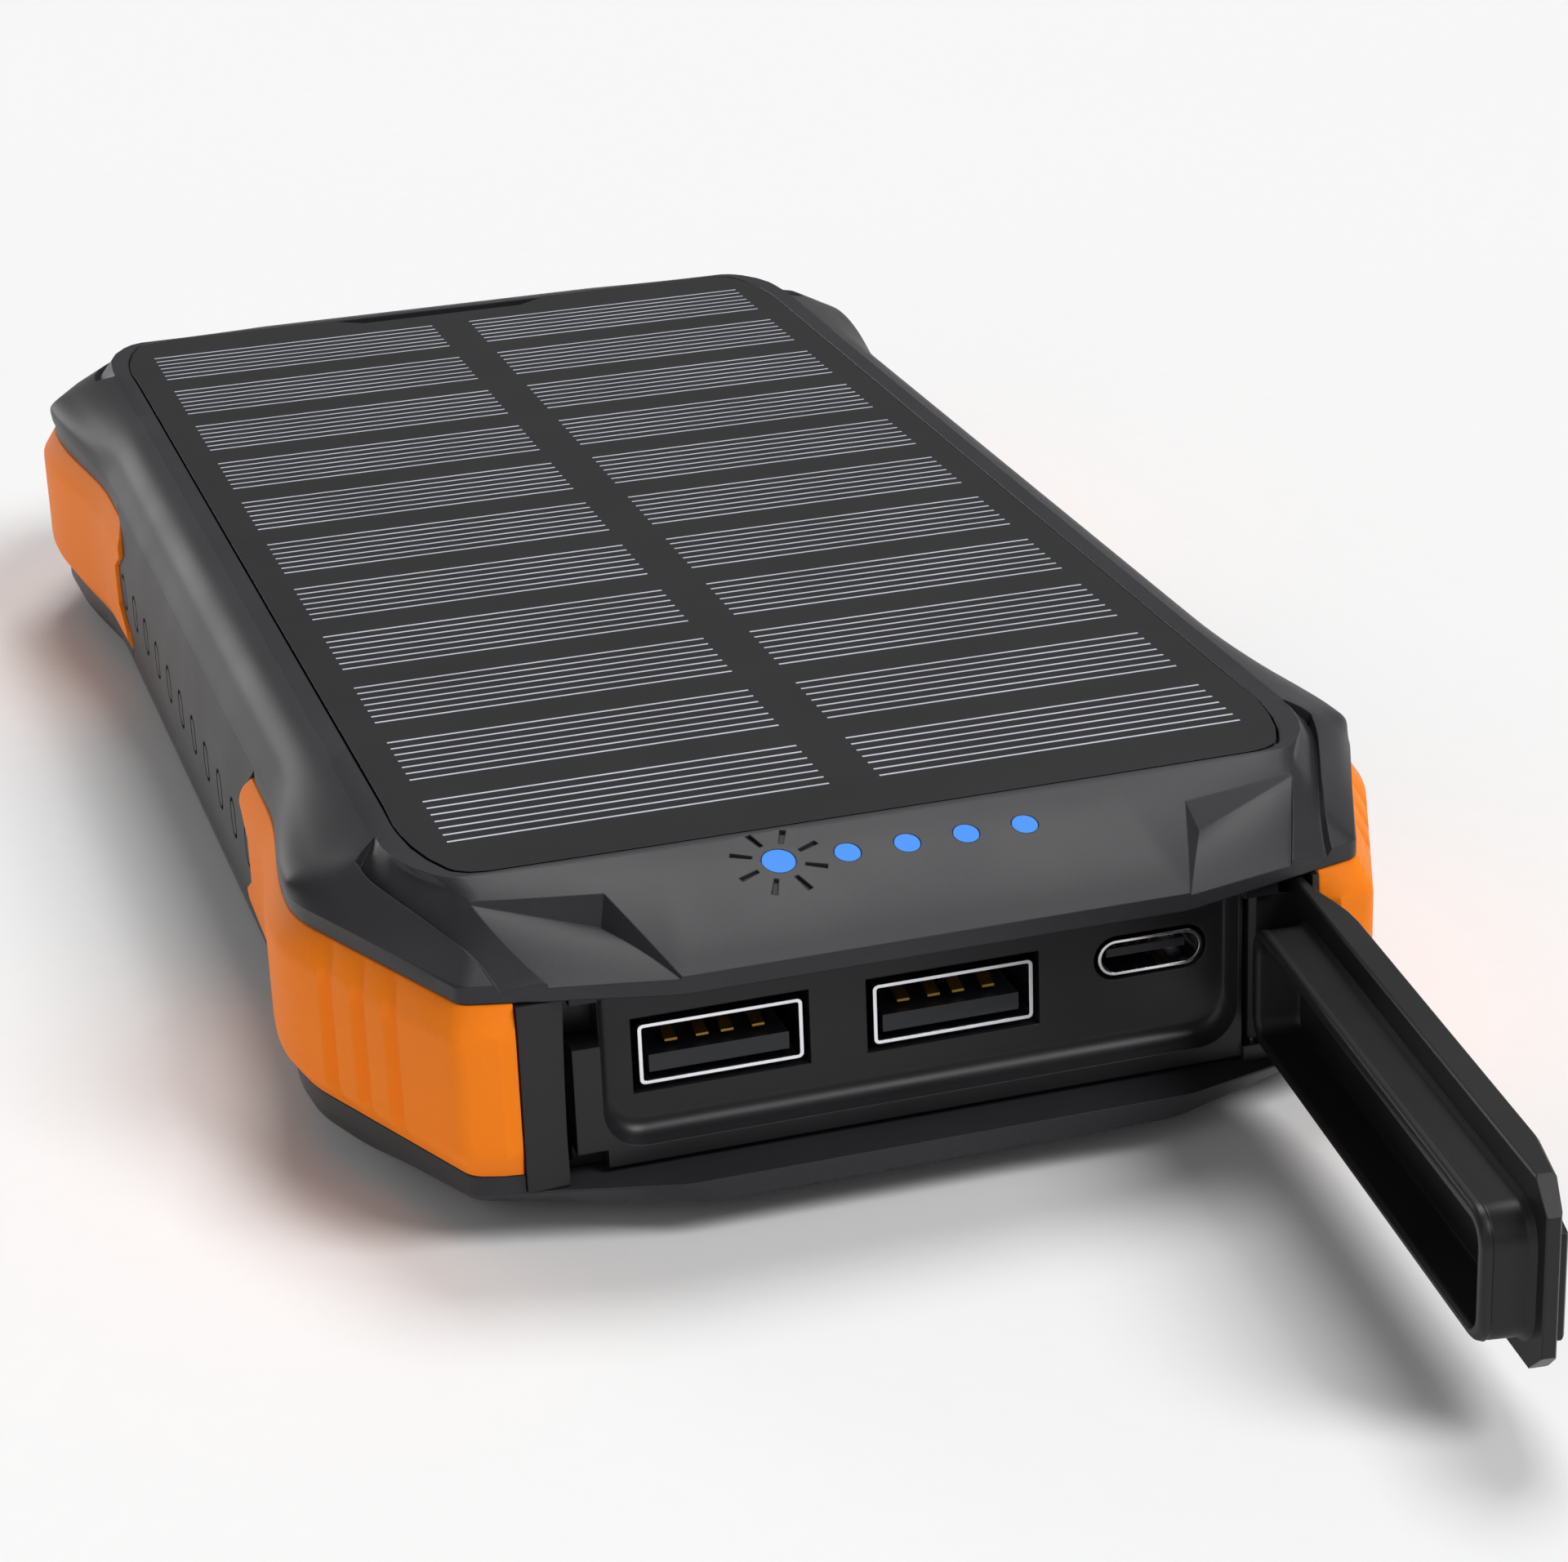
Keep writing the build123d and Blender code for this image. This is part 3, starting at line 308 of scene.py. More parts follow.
def ring_faces(ring_count, size):
    """Quads between rings of equal size, with an n-gon over each end."""
    faces = []
    for r in range(ring_count - 1):
        for i in range(size):
            j = (i + 1) % size
            faces.append((r * size + i, r * size + j, (r + 1) * size + j, (r + 1) * size + i))
    faces.append(tuple(range(size))[::-1])
    faces.append(tuple((ring_count - 1) * size + i for i in range(size)))
    return faces


def loft(name, rings, material=None, **more):
    """Closed solid through rings of equal size, each a list of points."""
    points = [p for ring in rings for p in ring]
    return piece(name, points, ring_faces(len(rings), len(rings[0])), material, **more)


def smooth_path(keys, count):
    """Catmull-Rom samples through keys, an array of rows."""
    keys = np.asarray(keys, float)
    padded = np.vstack([2 * keys[0] - keys[1], keys, 2 * keys[-1] - keys[-2]])
    out = []
    for value in np.linspace(0, len(keys) - 1, count):
        i = min(int(value), len(keys) - 2)
        t = value - i
        a, b, c, d = padded[i:i + 4]
        out.append(
            0.5 * (2 * b + (c - a) * t + (2 * a - 5 * b + 4 * c - d) * t ** 2
                   + (3 * b - a - 3 * c + d) * t ** 3)
        )
    return np.array(out)


def along(points, count):
    """Points evenly spaced along a polyline."""
    points = np.asarray(points, float)
    steps = np.r_[0, np.cumsum(np.linalg.norm(np.diff(points, axis=0), axis=1))]
    places = np.linspace(0, steps[-1], count)
    return np.column_stack([np.interp(places, steps, points[:, k]) for k in range(points.shape[1])])


def hermite(start, end, start_way, end_way, count):
    """Curve from start to end that leaves and arrives in the given ways."""
    start, end = np.asarray(start, float), np.asarray(end, float)
    length = np.linalg.norm(end - start)
    a = np.asarray(start_way, float) / np.linalg.norm(start_way) * length
    b = np.asarray(end_way, float) / np.linalg.norm(end_way) * length
    t = np.linspace(0, 1, count)[:, None]
    return (
        (2 * t ** 3 - 3 * t ** 2 + 1) * start + (t ** 3 - 2 * t ** 2 + t) * a
        + (3 * t ** 2 - 2 * t ** 3) * end + (t ** 3 - t ** 2) * b
    )


def corner_arc(before, corner, after, radius, count):
    """Round corner between two straight runs."""
    before, corner, after = (np.asarray(p, float) for p in (before, corner, after))
    u = (before - corner) / np.linalg.norm(before - corner)
    v = (after - corner) / np.linalg.norm(after - corner)
    half = math.acos(max(-1, min(1, float(u @ v)))) / 2
    reach = radius / math.tan(half)
    start, end = corner + u * reach, corner + v * reach
    return hermite(start, end, -u, v, count)


def rounded_rectangle(x_range, y_range, radius, per_corner=6):
    """Plan of a rectangle with round corners, anticlockwise."""
    (x0, x1), (y0, y1) = x_range, y_range
    out = []
    for cx, cy, turn in (
        (x1 - radius, y0 + radius, -90), (x1 - radius, y1 - radius, 0),
        (x0 + radius, y1 - radius, 90), (x0 + radius, y0 + radius, 180),
    ):
        for k in range(per_corner):
            angle = math.radians(turn + 90 * k / (per_corner - 1))
            out.append((cx + radius * math.cos(angle), cy + radius * math.sin(angle)))
    return out


# ------------------------------------------------------------------ housing plans
# how much further out the far shoulders are, at each height
REACH_HEIGHTS = (0.0, 1.2, 3.1, 4.7, 23.4, 25.0, 26.2, 27.0)
REACHES = (0.0, 1.5, 3.0, 4.2, 4.2, 3.0, 1.2, 0.0)
RISE_FROM, RISE_RUN = 46.0, 24.0
FALL_TO, FALL_RUN = 87.4, 17.4
WAIST_Y = 44.0
END_ROUND = 6.0


def quarter(end_y, end_half, corner, shoulder, bulge, waist, corner_r=1.6, path=None):
    """One quarter of a plan, from the middle of the end to the middle of the side.

    Y is a distance from the middle. A path takes the place of the round corner.
    """
    a, b, c = np.array((0.0, end_y)), np.array((end_half, end_y)), np.array(corner, float)
    d, e, g = np.array(shoulder, float), np.array(bulge, float), np.array((waist, WAIST_Y))
    round_b = corner_arc(a, b, c, END_ROUND, 5)
    if path is None:
        round_c = corner_arc(b, c, d, corner_r, 7)
        corner_part = np.vstack([
            along([round_b[-1], round_c[0]], 9)[1:-1], round_c, along([round_c[-1], d], 12)[1:],
        ])
    else:
        corner_part = np.vstack([
            along([round_b[-1], path[0]], 9)[1:-1], along([*path, d], 18),
        ])
    side = np.vstack([
        hermite(d, e, d - corner_part[-2], (0, -1), 8)[1:],
        hermite(e, g, (0, -1), (0, -1), 18)[1:],
        along([g, (waist, 0)], 12)[1:],
    ])
    return np.vstack([along([a, round_b[0]], 8)[:-1], round_b, corner_part, side])


def reached(part, reach):
    """A quarter plan with its shoulder further out along Y."""
    part = np.asarray(part, float)
    rise = np.clip((part[:, 1] - RISE_FROM) / RISE_RUN, 0, 1)
    fall = np.clip((FALL_TO - part[:, 1]) / FALL_RUN, 0, 1)
    share = np.minimum(rise ** 2 * (3 - 2 * rise), fall)
    return part + np.column_stack([np.zeros(len(part)), share * reach])


def reach_at(height):
    """How much further out the far shoulders are at one height."""
    return float(np.interp(height, REACH_HEIGHTS, REACHES))


def whole(part, height=None):
    """A full plan from one quarter, anticlockwise from the middle of the port end."""
    part = np.asarray(part, float)
    far = reached(part, 0.0 if height is None else reach_at(height))
    port_right = part * (1, -1)
    far_right = far[::-1][1:]
    far_left = (far * (-1, 1))[1:]
    port_left = (part[::-1] * (-1, -1))[1:-1]
    return np.vstack([port_right, far_right, far_left, port_left])


BEZEL_CORNER = ((33.4, 78.55), (34.6, 78.1), (35.6, 77.1), (36.8, 75.2), (37.5, 73.2))
SEAT_CORNER = ((31.6, 78.15), (33.0, 77.85), (34.1, 77.05), (35.2, 74.4), (35.9, 71.6))
top_keys = [
    (27.0, quarter(78.6, 19.0, (33.4, 78.6), (37.9, 71.0), (38.05, 66.0), 38.0, path=BEZEL_CORNER)),
    (26.2, quarter(81.7, 19.0, (33.9, 80.3), (39.4, 70.6), (40.0, 65.5), 39.66, 2.4)),
    (25.0, quarter(85.4, 19.2, (34.3, 82.4), (41.2, 70.2), (42.5, 65.6), 41.04, 2.2)),
    (23.4, quarter(89.3, 19.6, (34.9, 85.2), (43.5, 69.0), (45.0, 65.8), 41.9, 2.0)),
    (22.15, quarter(91.8, 20.3, (36.0, 87.5), (43.8, 69.8), (45.0, 65.2), 42.55, 1.6)),
]


def blend_rings(keys, count):
    """Smooth rings between key rings, each a height and a quarter plan."""
    heights = np.array([[k[0]] for k in keys])
    front = np.array([k[1][0] for k in keys])
    rows = np.array([np.r_[k[0], np.asarray(k[1]).ravel()] for k in keys])
    steps = np.r_[0, np.cumsum(np.hypot(np.diff(heights[:, 0]), np.diff(front[:, 1])))]
    places = np.linspace(0, steps[-1], count)
    slopes = np.gradient(rows, steps, axis=0)
    slopes[0] = (rows[1] - rows[0]) / (steps[1] - steps[0])
    slopes[-1] = (rows[-1] - rows[-2]) / (steps[-1] - steps[-2])
    out = []
    for place in places:
        i = min(int(np.searchsorted(steps, place, side="right")) - 1, len(keys) - 2)
        width = steps[i + 1] - steps[i]
        t = (place - steps[i]) / width
        row = (
            (2 * t ** 3 - 3 * t ** 2 + 1) * rows[i] + (t ** 3 - 2 * t ** 2 + t) * width * slopes[i]
            + (3 * t ** 2 - 2 * t ** 3) * rows[i + 1] + (t ** 3 - t ** 2) * width * slopes[i + 1]
        )
        out.append((row[0], row[1:].reshape(-1, 2)))
    return out


def raised(plan, height):
    """Plan points at one height."""
    return [(x, y, height) for x, y in plan]


def drawn_in(part, amount):
    """A quarter plan moved inward by a small amount."""
    part = np.asarray(part, float)
    way = np.gradient(part, axis=0)
    length = np.linalg.norm(way, axis=1, keepdims=True)
    normal = np.column_stack([way[:, 1], -way[:, 0]]) / np.maximum(length, 1e-9)
    moved = part + normal * amount
    moved[0, 0] = 0.0
    moved[-1, 1] = 0.0
    return moved


seat = quarter(78.25, 19.0, (33.0, 78.2), (36.2, 69.0), (36.3, 62.0), 36.3, path=SEAT_CORNER)
rim_plan = quarter(91.8, 20.3, (36.2, 87.4), (43.7, 69.8), (44.8, 64.5), 42.6, 1.6)
cavity = quarter(82.2, 19.0, (33.0, 81.0), (39.0, 67.5), (39.3, 62.0), 39.3, 1.0)

# top shell: seat floor, bezel, slope, lip and the room inside
rings = [
    raised(whole(seat), 25.02),
    raised(whole(seat), 26.85),
    raised(whole(drawn_in(seat, -0.12)), TOP),
]
for height, part in blend_rings(top_keys, 22):
    rings.append(raised(whole(part, height), height))
rings.append(raised(whole(rim_plan, 21.95), 21.95))
rings.append(raised(whole(rim_plan, 20.75), 20.75))
rings.append(raised(whole(drawn_in(rim_plan, 0.15), 20.6), 20.6))
rings.append(raised(whole(cavity), 20.6))
rings.append(raised(whole(cavity), 23.4))
top_look = loft("top_shell_look", rings)

# recessed straps over the four corners, from the notch beside the bezel to the lip:
# plan of the inner crease and of the border, and how far the floor lies below the border
STRAP_INNER = (
    (38.05, 70.0), (37.7, 72.4), (37.1, 74.7), (35.3, 77.8),
    (33.6, 80.6), (32.2, 82.75), (30.6, 86.0), (29.6, 89.6),
)
STRAP_BORDER = (
    (40.1, 70.0), (39.6, 72.3), (38.5, 75.2), (36.95, 79.0),
    (35.95, 81.6), (35.05, 83.9), (34.05, 87.0), (33.4, 89.9),
)
STRAP_SINK = (0.9, 0.8, 0.62, 0.5, 0.48, 0.48, 0.5, 0.55)
STRAP_STEPS = 41
RAY_START_METRES = 0.05
LIP_HEIGHT = 22.0


def surface_heights(thing):
    """Function for the height of the upper surface of a mesh at a place in plan.

    Beside the mesh it gives the height of the lip.
    """
    tree = BVHTree.FromPolygons(
        [v.co for v in thing.data.vertices], [p.vertices for p in thing.data.polygons],
    )

    def height(x, y):
        place = tree.ray_cast(Vector((x * MM, y * MM, RAY_START_METRES)), Vector((0, 0, -1)))[0]
        return place.z / MM if place is not None else LIP_HEIGHT

    return height


def strap_room(x_side, y_side, height):
    """Cutter for the room above one strap."""
    inner = smooth_path(STRAP_INNER, STRAP_STEPS)
    border = smooth_path(STRAP_BORDER, STRAP_STEPS)
    sink = np.interp(
        np.linspace(0, 1, STRAP_STEPS), np.linspace(0, 1, len(STRAP_SINK)), STRAP_SINK,
    )
    rows = []
    for a, b, deep in zip(inner, border, sink):
        reach_a, reach_b = 0.0, 0.0
        if y_side > 0:
            reach_b = reached([b], reach_at(height(b[0], b[1])) * 0.6)[0][1] - b[1]
            reach_a = reach_b * 0.5
            start_share = max(0.0, (74.0 - b[1]) / 4.0)
            reach_b -= 2.4 * start_share
            reach_a -= 2.0 * start_share
        a = np.array((a[0] * x_side, (a[1] + reach_a) * y_side))
        b = np.array((b[0] * x_side, (b[1] + reach_b) * y_side))
        foot = b + (a - b) * 0.13
        high_a, high_b = height(*a), height(*b)
        rows.append([
            (*a, high_a + 0.02),
            (*((a + foot) / 2), (high_a + high_b - deep) / 2 - 0.10 + 0.10 * deep),
            (*foot, min(high_b, height(*foot)) - deep),
            (*b, high_b + 0.02), (*b, SKY), (*a, SKY),
        ])
    first, last = np.array(rows[0]), np.array(rows[-1])
    lead = first.copy()
    lead[:, 1] -= y_side * 1.5
    lead[:, 0] = first[0][0] + (first[:, 0] - first[0][0]) * 0.15
    lead[:4, 2] = TOP - 0.35
    lead[0, 2] = lead[3, 2] = TOP + 0.02
    tail = last + (0, y_side * 3.5, 0)
    tail[:4, 2] -= 1.3
    return loft("strap_room", [[tuple(p) for p in row] for row in [lead, *rows, tail]])


# wedge pockets in the port-end slope: three corners on the surface and one deep
WEDGE_A, WEDGE_B = (33.5, -81.0), (23.6, -82.7)
WEDGE_C, WEDGE_D = (20.3, -91.75), (29.6, -89.6)
WEDGE_DEEP = (24.3, -83.9, 1.75)
WEDGE_STEPS = 14


def wedge_cutter(side, height):
    """Room over the floor of one pocket, with its two leaning walls."""
    a, b, c, d = (
        np.array((x * side, y, height(x * side, y))) for x, y in (WEDGE_A, WEDGE_B, WEDGE_C, WEDGE_D)
    )
    deep_x, deep_y, deep_down = WEDGE_DEEP
    deep = np.array((deep_x * side, deep_y, height(deep_x * side, deep_y) - deep_down))
    start = b + (b - deep) * 0.25
    far = a + (0, 0.35, 0.45)
    rows = [[start + (-0.5 * side, 0.1, 0.5), start, (start + far) / 2, far, far + (0.25 * side, 0, 0.6)]]
    for i in range(WEDGE_STEPS + 1):
        t = i / WEDGE_STEPS
        rise = math.sin(math.pi * t)
        left, right, wall = deep + (c - deep) * t, a + (d - a) * t, b + (c - b) * t
        left[2] = min(left[2] + 0.25 * rise, height(left[0], left[1]) - 0.03)
        right[2] = height(right[0], right[1]) - 0.1 - 0.45 * rise - 0.25 * t
        wall[2] = height(wall[0], wall[1])
        far_right = right + (0.25 * side, 0, 1.2)
        high_wall = wall + (wall - left) * 0.3 + (-0.05 * side, 0, 0.15)
        rows.append([high_wall, left, (left + right) / 2 + (0, 0, 0.1 * rise), right, far_right])
    rows.append([p + (0.78 * side, -2.9, -1.0) for p in rows[-1]])
    out = []
    for row in rows:
        ring = [*row, (row[4][0], row[4][1], SKY), (row[0][0], row[0][1], SKY)]
        out.append([tuple(p) for p in ring])
    return loft("wedge_room", out)


def disc_cutter(x, y, radius, low=22.0, high=30.0, sides=40):
    """Round cutter standing on Z."""
    ring = []
    for k in range(sides):
        angle = 2 * math.pi * k / sides
        ring.append((x + radius * math.cos(angle), y + radius * math.sin(angle)))
    return loft("disc", [raised(ring, low), raised(ring, high)])


SUN = (-9.71, -82.4)
SUN_RADIUS = 1.29
DOTS = ((-4.26, -82.65), (0.57, -82.65), (5.39, -82.65), (10.22, -82.65))
DOT_RADIUS = 1.0
LIGHT_GAP = 0.06
SLOPE_START_Y = -78.3
SLOPE_FALL, SLOPE_CURVE = 0.197, 0.012


def slope_height(y):
    """Height of the port-end slope at a place along Y."""
    s = SLOPE_START_Y - y
    return TOP - SLOPE_FALL * s - SLOPE_CURVE * s * s


shell_height = surface_heights(top_look)
rooms = [strap_room(a, b, shell_height) for a in (-1, 1) for b in (-1, 1)]
rooms += [wedge_cutter(side, shell_height) for side in (1, -1)]
cut(top_look, rooms, crease=24)

RAYS = 8
RAY_NEAR, RAY_FAR = 2.05, 3.75
RAY_NEAR_HALF, RAY_FAR_HALF = 0.17, 0.24
ray_shapes = []
for k in range(RAYS):
    angle = math.radians(45 * k + 22.5)
    u = np.array((math.cos(angle), math.sin(angle)))
    v = np.array((-u[1], u[0]))
    near, far = np.array(SUN) + u * RAY_NEAR, np.array(SUN) + u * RAY_FAR
    ray_shapes.append([
        near + v * RAY_NEAR_HALF, near - v * RAY_NEAR_HALF, far - v * RAY_FAR_HALF, far + v * RAY_FAR_HALF,
    ])


def ray_prism(corners, low, high):
    """Small prism that follows the slope under one ray."""
    rows = [[(p[0], p[1], slope_height(p[1]) + shift) for p in corners] for shift in (low, high)]
    return loft("ray", rows)


cut(top_look, [ray_prism(c, -0.35, 2.0) for c in ray_shapes], crease=24)
light_holes = [disc_cutter(*SUN, SUN_RADIUS + LIGHT_GAP)]
light_holes += [disc_cutter(*dot, DOT_RADIUS + LIGHT_GAP) for dot in DOTS]
cut(top_look, light_holes, crease=24)
top_look.data.materials.append(MATERIALS["body_plastic"])
finish_piece(top_look, HOUSING, ["top_shell"], "body_plastic")

# Dark strips laid at the floor of each ray groove, so that the rays show black.
ray_floor_points, ray_floor_faces = [], []
for corners in ray_shapes:
    start = len(ray_floor_points)
    for shift in (-0.36, -0.26):
        ray_floor_points += [(p[0], p[1], slope_height(p[1]) + shift) for p in corners]
    ray_floor_faces += [tuple(start + i for i in f) for f in ring_faces(2, 4)]
piece("sun_ray_dark_floor", ray_floor_points, ray_floor_faces, "socket_dark")


# ------------------------------------------------------------------ simple solids
def block(x, y, z):
    """Box between two x, two y and two z, as a loose solid."""
    ring = [(x[0], y[0]), (x[1], y[0]), (x[1], y[1]), (x[0], y[1])]
    return loft("block", [raised(ring, z[0]), raised(ring, z[1])])


def side_prism(outline, x_low, x_high):
    """Prism along X from an outline of y and z."""
    return loft("prism", [[(x, y, z) for y, z in outline] for x in (x_low, x_high)])


def front_prism(outline, y_low, y_high):
    """Prism along Y from an outline of x and z."""
    return loft("prism", [[(x, y, z) for x, z in outline] for y in (y_low, y_high)])


def grip_slots(z):
    """Boxes between two heights for the edge of the two side grips."""
    return [block((-45, -41.12), (-38.6, 38.6), z), block((41.12, 45), (-38.6, 38.6), z)]


# ------------------------------------------------------------------ bottom shell
low_keys = [
    (0.0, quarter(78.6, 19.0, (33.6, 78.5), (37.8, 71.5), (38.05, 66.0), 38.0, 2.0)),
    (1.2, quarter(85.0, 19.0, (34.4, 81.2), (40.4, 70.4), (41.4, 64.5), 40.1, 2.4)),
    (3.1, quarter(91.8, 19.1, (35.5, 85.2), (42.6, 70.1), (44.1, 64.0), 41.75, 2.4)),
]
low_rings = [raised(whole(drawn_in(low_keys[0][1], 0.5)), 0.0)]
for height, part in blend_rings(low_keys, 12):
    low_rings.append(raised(whole(part, height), max(height, 0.0)))
low_rings += [
    raised(whole(rim_plan, 4.7), 4.7),
    raised(whole(rim_plan, 6.25), 6.25),
    raised(whole(drawn_in(rim_plan, 0.15), 6.4), 6.4),
    raised(whole(cavity), 6.4),
    raised(whole(cavity), 3.7),
]
bottom_look = loft("bottom_shell_look", low_rings)
SCREWS = [(x * 33.6, y * 70.0) for x in (-1, 1) for y in (-1, 1)]
SCREW_ROOM = 2.6
bottom_rooms = [block((-32.35, 32.35), (-100, -83.95), (4.9, 10)), *grip_slots((5.15, 8))]
bottom_rooms += [disc_cutter(x, y, SCREW_ROOM, -1.0, SCREW_ROOM) for x, y in SCREWS]
cut(bottom_look, bottom_rooms, crease=24)
bottom_look.data.materials.append(MATERIALS["body_plastic"])
finish_piece(bottom_look, HOUSING, ["bottom_shell"], "body_plastic")
cut(top_look, grip_slots((20, 21.85)), crease=24)

# ------------------------------------------------------------------ corner bumpers
# zigzag seam between a bumper and a side grip, and how proud the bumper is at each height
SIDE_EDGE = (
    (38.4, 21.8), (35.2, 19.3), (34.3, 17.5), (37.8, 15.5),
    (37.8, 11.5), (34.3, 9.5), (35.2, 7.7), (38.4, 5.2),
)
BUMPER_PROUD = 1.5
BUMPER_PROFILE = (
    (6.4, 0.0), (6.5, 0.10), (8.3, 1.28), (8.7, 1.44), (9.3, 1.5), (13.5, 1.5),
    (17.7, 1.5), (18.3, 1.44), (18.7, 1.28), (20.5, 0.10), (20.6, 0.0),
)
GROOVE_PLACES = (8.3, 12.6, 16.9)
GROOVE_SHAPE = ((-1.0, 0), (-0.05, 1), (0.10, 1), (0.95, 0))
GROOVE_DEEP = 0.62


def bumper_ring(proud, height, reach):
    """Plan of one bumper at one height, with its grooves in the diagonal face."""
    share = proud / BUMPER_PROUD
    front = np.array((33.9, 88.2 + 1.0 * proud))
    edge_point = np.array((32.45, 88.45 + 1.0 * proud - 1.15 * share))
    corner = np.array((36.2 + 0.62 * proud, 87.4 + 0.9 * proud))
    shoulder = np.array((43.7 + 0.92 * proud, 69.8 + 0.39 * proud + reach))
    bulge = np.array((44.8 + proud, 64.5 + 0.5 * reach))
    tip = np.array((42.7 + 0.7 * proud, 44.0))
    end = np.array((42.6 + 0.6 * proud, 34.0))
    length = np.linalg.norm(shoulder - corner)
    way = (shoulder - corner) / length
    inward = np.array((-way[1], way[0]))
    if inward @ corner > 0:
        inward = -inward
    arc = corner_arc(front, corner, shoulder, 2.2, 9)
    line = []
    for place in GROOVE_PLACES:
        for offset, deep in GROOVE_SHAPE:
            sunk = inward * deep * GROOVE_DEEP * share
            line.append(corner + way * (place * length / 20.0 + offset) + sunk)
    outer = np.vstack([
        [edge_point, front], arc, line, [shoulder],
        hermite(shoulder, bulge, way, (0, -1), 8)[1:], hermite(bulge, tip, (0, -1), (0, -1), 16)[1:],
        along([tip, end], 4)[1:],
    ])
    inner = [(41.15, 34.0), (41.15, 67.5), (35.1, 81.65), (32.45, 84.05)]
    return [(x, y, height) for x, y in [*outer, *inner]]


CORNERS = ((-1, -1, "front_left"), (1, -1, "front_right"), (-1, 1, "rear_left"), (1, 1, "rear_right"))
for x_side, y_side, where in CORNERS:
    reach = max(REACHES) if y_side > 0 else 0.0
    rows = [mirrored(bumper_ring(proud, height, reach), x_side, y_side) for height, proud in BUMPER_PROFILE]
    bumper = loft(f"bumper_{where}_look", rows)
    seam = [(y_side * (y + 0.1), z) for y, z in reversed(SIDE_EDGE)]
    outline = [(y_side * 30.0, 2.0), *seam, (y_side * 30.0, 25.0)]
    cut(bumper, [side_prism(outline, x_side * 40.0, x_side * 50.0)], crease=30)
    bumper.data.materials.append(MATERIALS["orange_rubber"])
    finish_piece(bumper, HOUSING, [f"bumper_{where}"], "orange_rubber")

# ------------------------------------------------------------------ side grips
GRIP_PROFILE = (
    (41.15, 5.2), (42.6, 5.2), (42.78, 6.6), (43.02, 8.6), (43.2, 10.3), (43.24, 13.5),
    (43.2, 16.7), (43.02, 18.4), (42.78, 20.4), (42.6, 21.8), (41.15, 21.8),
)
LOOP_COUNT = 11
LOOP_PITCH = 7.0
GRIP_MIDDLE = 13.5
BUTTON_PLACE = (-14.0, 13.5)
BUTTON_ROOM = 9.0


def pill(y, z, half_width, half_height, count=10):
    """Outline of an upright pill in y and z."""
    out = []
    run = half_height - half_width
    for k in range(2 * count):
        angle = math.pi * k / (count - 1) if k < count else math.pi * (k - 1) / (count - 1)
        lift = run if k < count else -run
        out.append((y + half_width * math.cos(angle), z + lift + half_width * math.sin(angle)))
    return out


def pill_groove(y, z, x_low, x_high):
    """Ring-shaped cutter for one loop of the grip."""
    outer, inner = pill(y, z, 1.25, 1.95), pill(y, z, 0.85, 1.55)
    sides = ((x_low, outer), (x_high, outer), (x_high, inner), (x_low, inner))
    rows = [[(x, a, b) for a, b in line] for x, line in sides]
    size = len(outer)
    faces = []
    for r in range(4):
        s = (r + 1) % 4
        for i in range(size):
            j = (i + 1) % size
            faces.append((r * size + i, r * size + j, s * size + j, s * size + i))
    return piece("loop", [p for row in rows for p in row], faces, None)


for side, where in ((-1, "left"), (1, "right")):
    steps = np.linspace(-40, 40, 3)
    rows = [[(side * x, y, z) for x, z in GRIP_PROFILE] for y in steps]
    grip = loft(f"side_grip_{where}_look", rows)
    outline = [(y, z) for y, z in SIDE_EDGE] + [(-y, z) for y, z in reversed(SIDE_EDGE)]
    cut(grip, [side_prism(outline, side * 40.0, side * 46.0)], "INTERSECT")
    cutters = []
    for k in range(LOOP_COUNT):
        loop_y = (k - (LOOP_COUNT - 1) / 2) * LOOP_PITCH
        if side < 0 or abs(loop_y - BUTTON_PLACE[0]) > BUTTON_ROOM:
            cutters.append(pill_groove(loop_y, GRIP_MIDDLE, side * 42.95, side * 44.5))
    if side > 0:
        hole = [(BUTTON_PLACE[0] + a, BUTTON_PLACE[1] + b) for b, a in pill(0, 0, 3.1, 7.1)]
        cutters.append(side_prism(hole, 40.0, 46.0))
    cut(grip, cutters, crease=24)
    grip.data.materials.append(MATERIALS["grip_plastic"])
    finish_piece(grip, HOUSING, [f"side_grip_{where}"], "grip_plastic")

# ------------------------------------------------------------------ port frame
POCKET = ((-25.9, 25.9), (6.8, 19.0))
POCKET_STEPS = 8
WALL_Z = (5.0, 20.5)
FACE_Y = -86.0
RIM_Y = -88.0
port_look = block((-32.3, 32.3), (FACE_Y, -84.0), WALL_Z)
port_look.name = "port_frame_look"
cut(port_look, [block((-28.1, 26.25), (RIM_Y, -85.5), (5.4, 20.3))], "UNION")
cut(port_look, [block((31.75, 32.3), (-88.9, -85.5), WALL_Z)], "UNION")
gap_side = [
    (-29.0, 5.0), (-29.05, 9.0), (-29.0, 13.0), (-28.9, 17.0), (-28.75, 20.5), (-32.3, 20.5), (-32.3, 5.0),
]
cut(port_look, [front_prism(gap_side, -88.9, -85.5)], "UNION")
fillet_rows = []
for k in range(POCKET_STEPS + 1):
    turn = math.radians(90 * k / POCKET_STEPS)
    inward, deep = 1 - math.cos(turn), math.sin(turn)
    x_range = (POCKET[0][0] + 1.1 * inward, POCKET[0][1] - 0.5 * inward)
    z_range = (POCKET[1][0] + 1.6 * inward, POCKET[1][1] + 5.0)
    plan = rounded_rectangle(x_range, z_range, 3.3 - 0.4 * inward, 10)
    fillet_rows.append([(x, RIM_Y + 2.0 * deep, z) for x, z in plan])
fillet_rows.insert(0, [(x, -90.0, z) for x, _, z in fillet_rows[0]])
cut(port_look, [loft("pocket_room", fillet_rows)], crease=24)
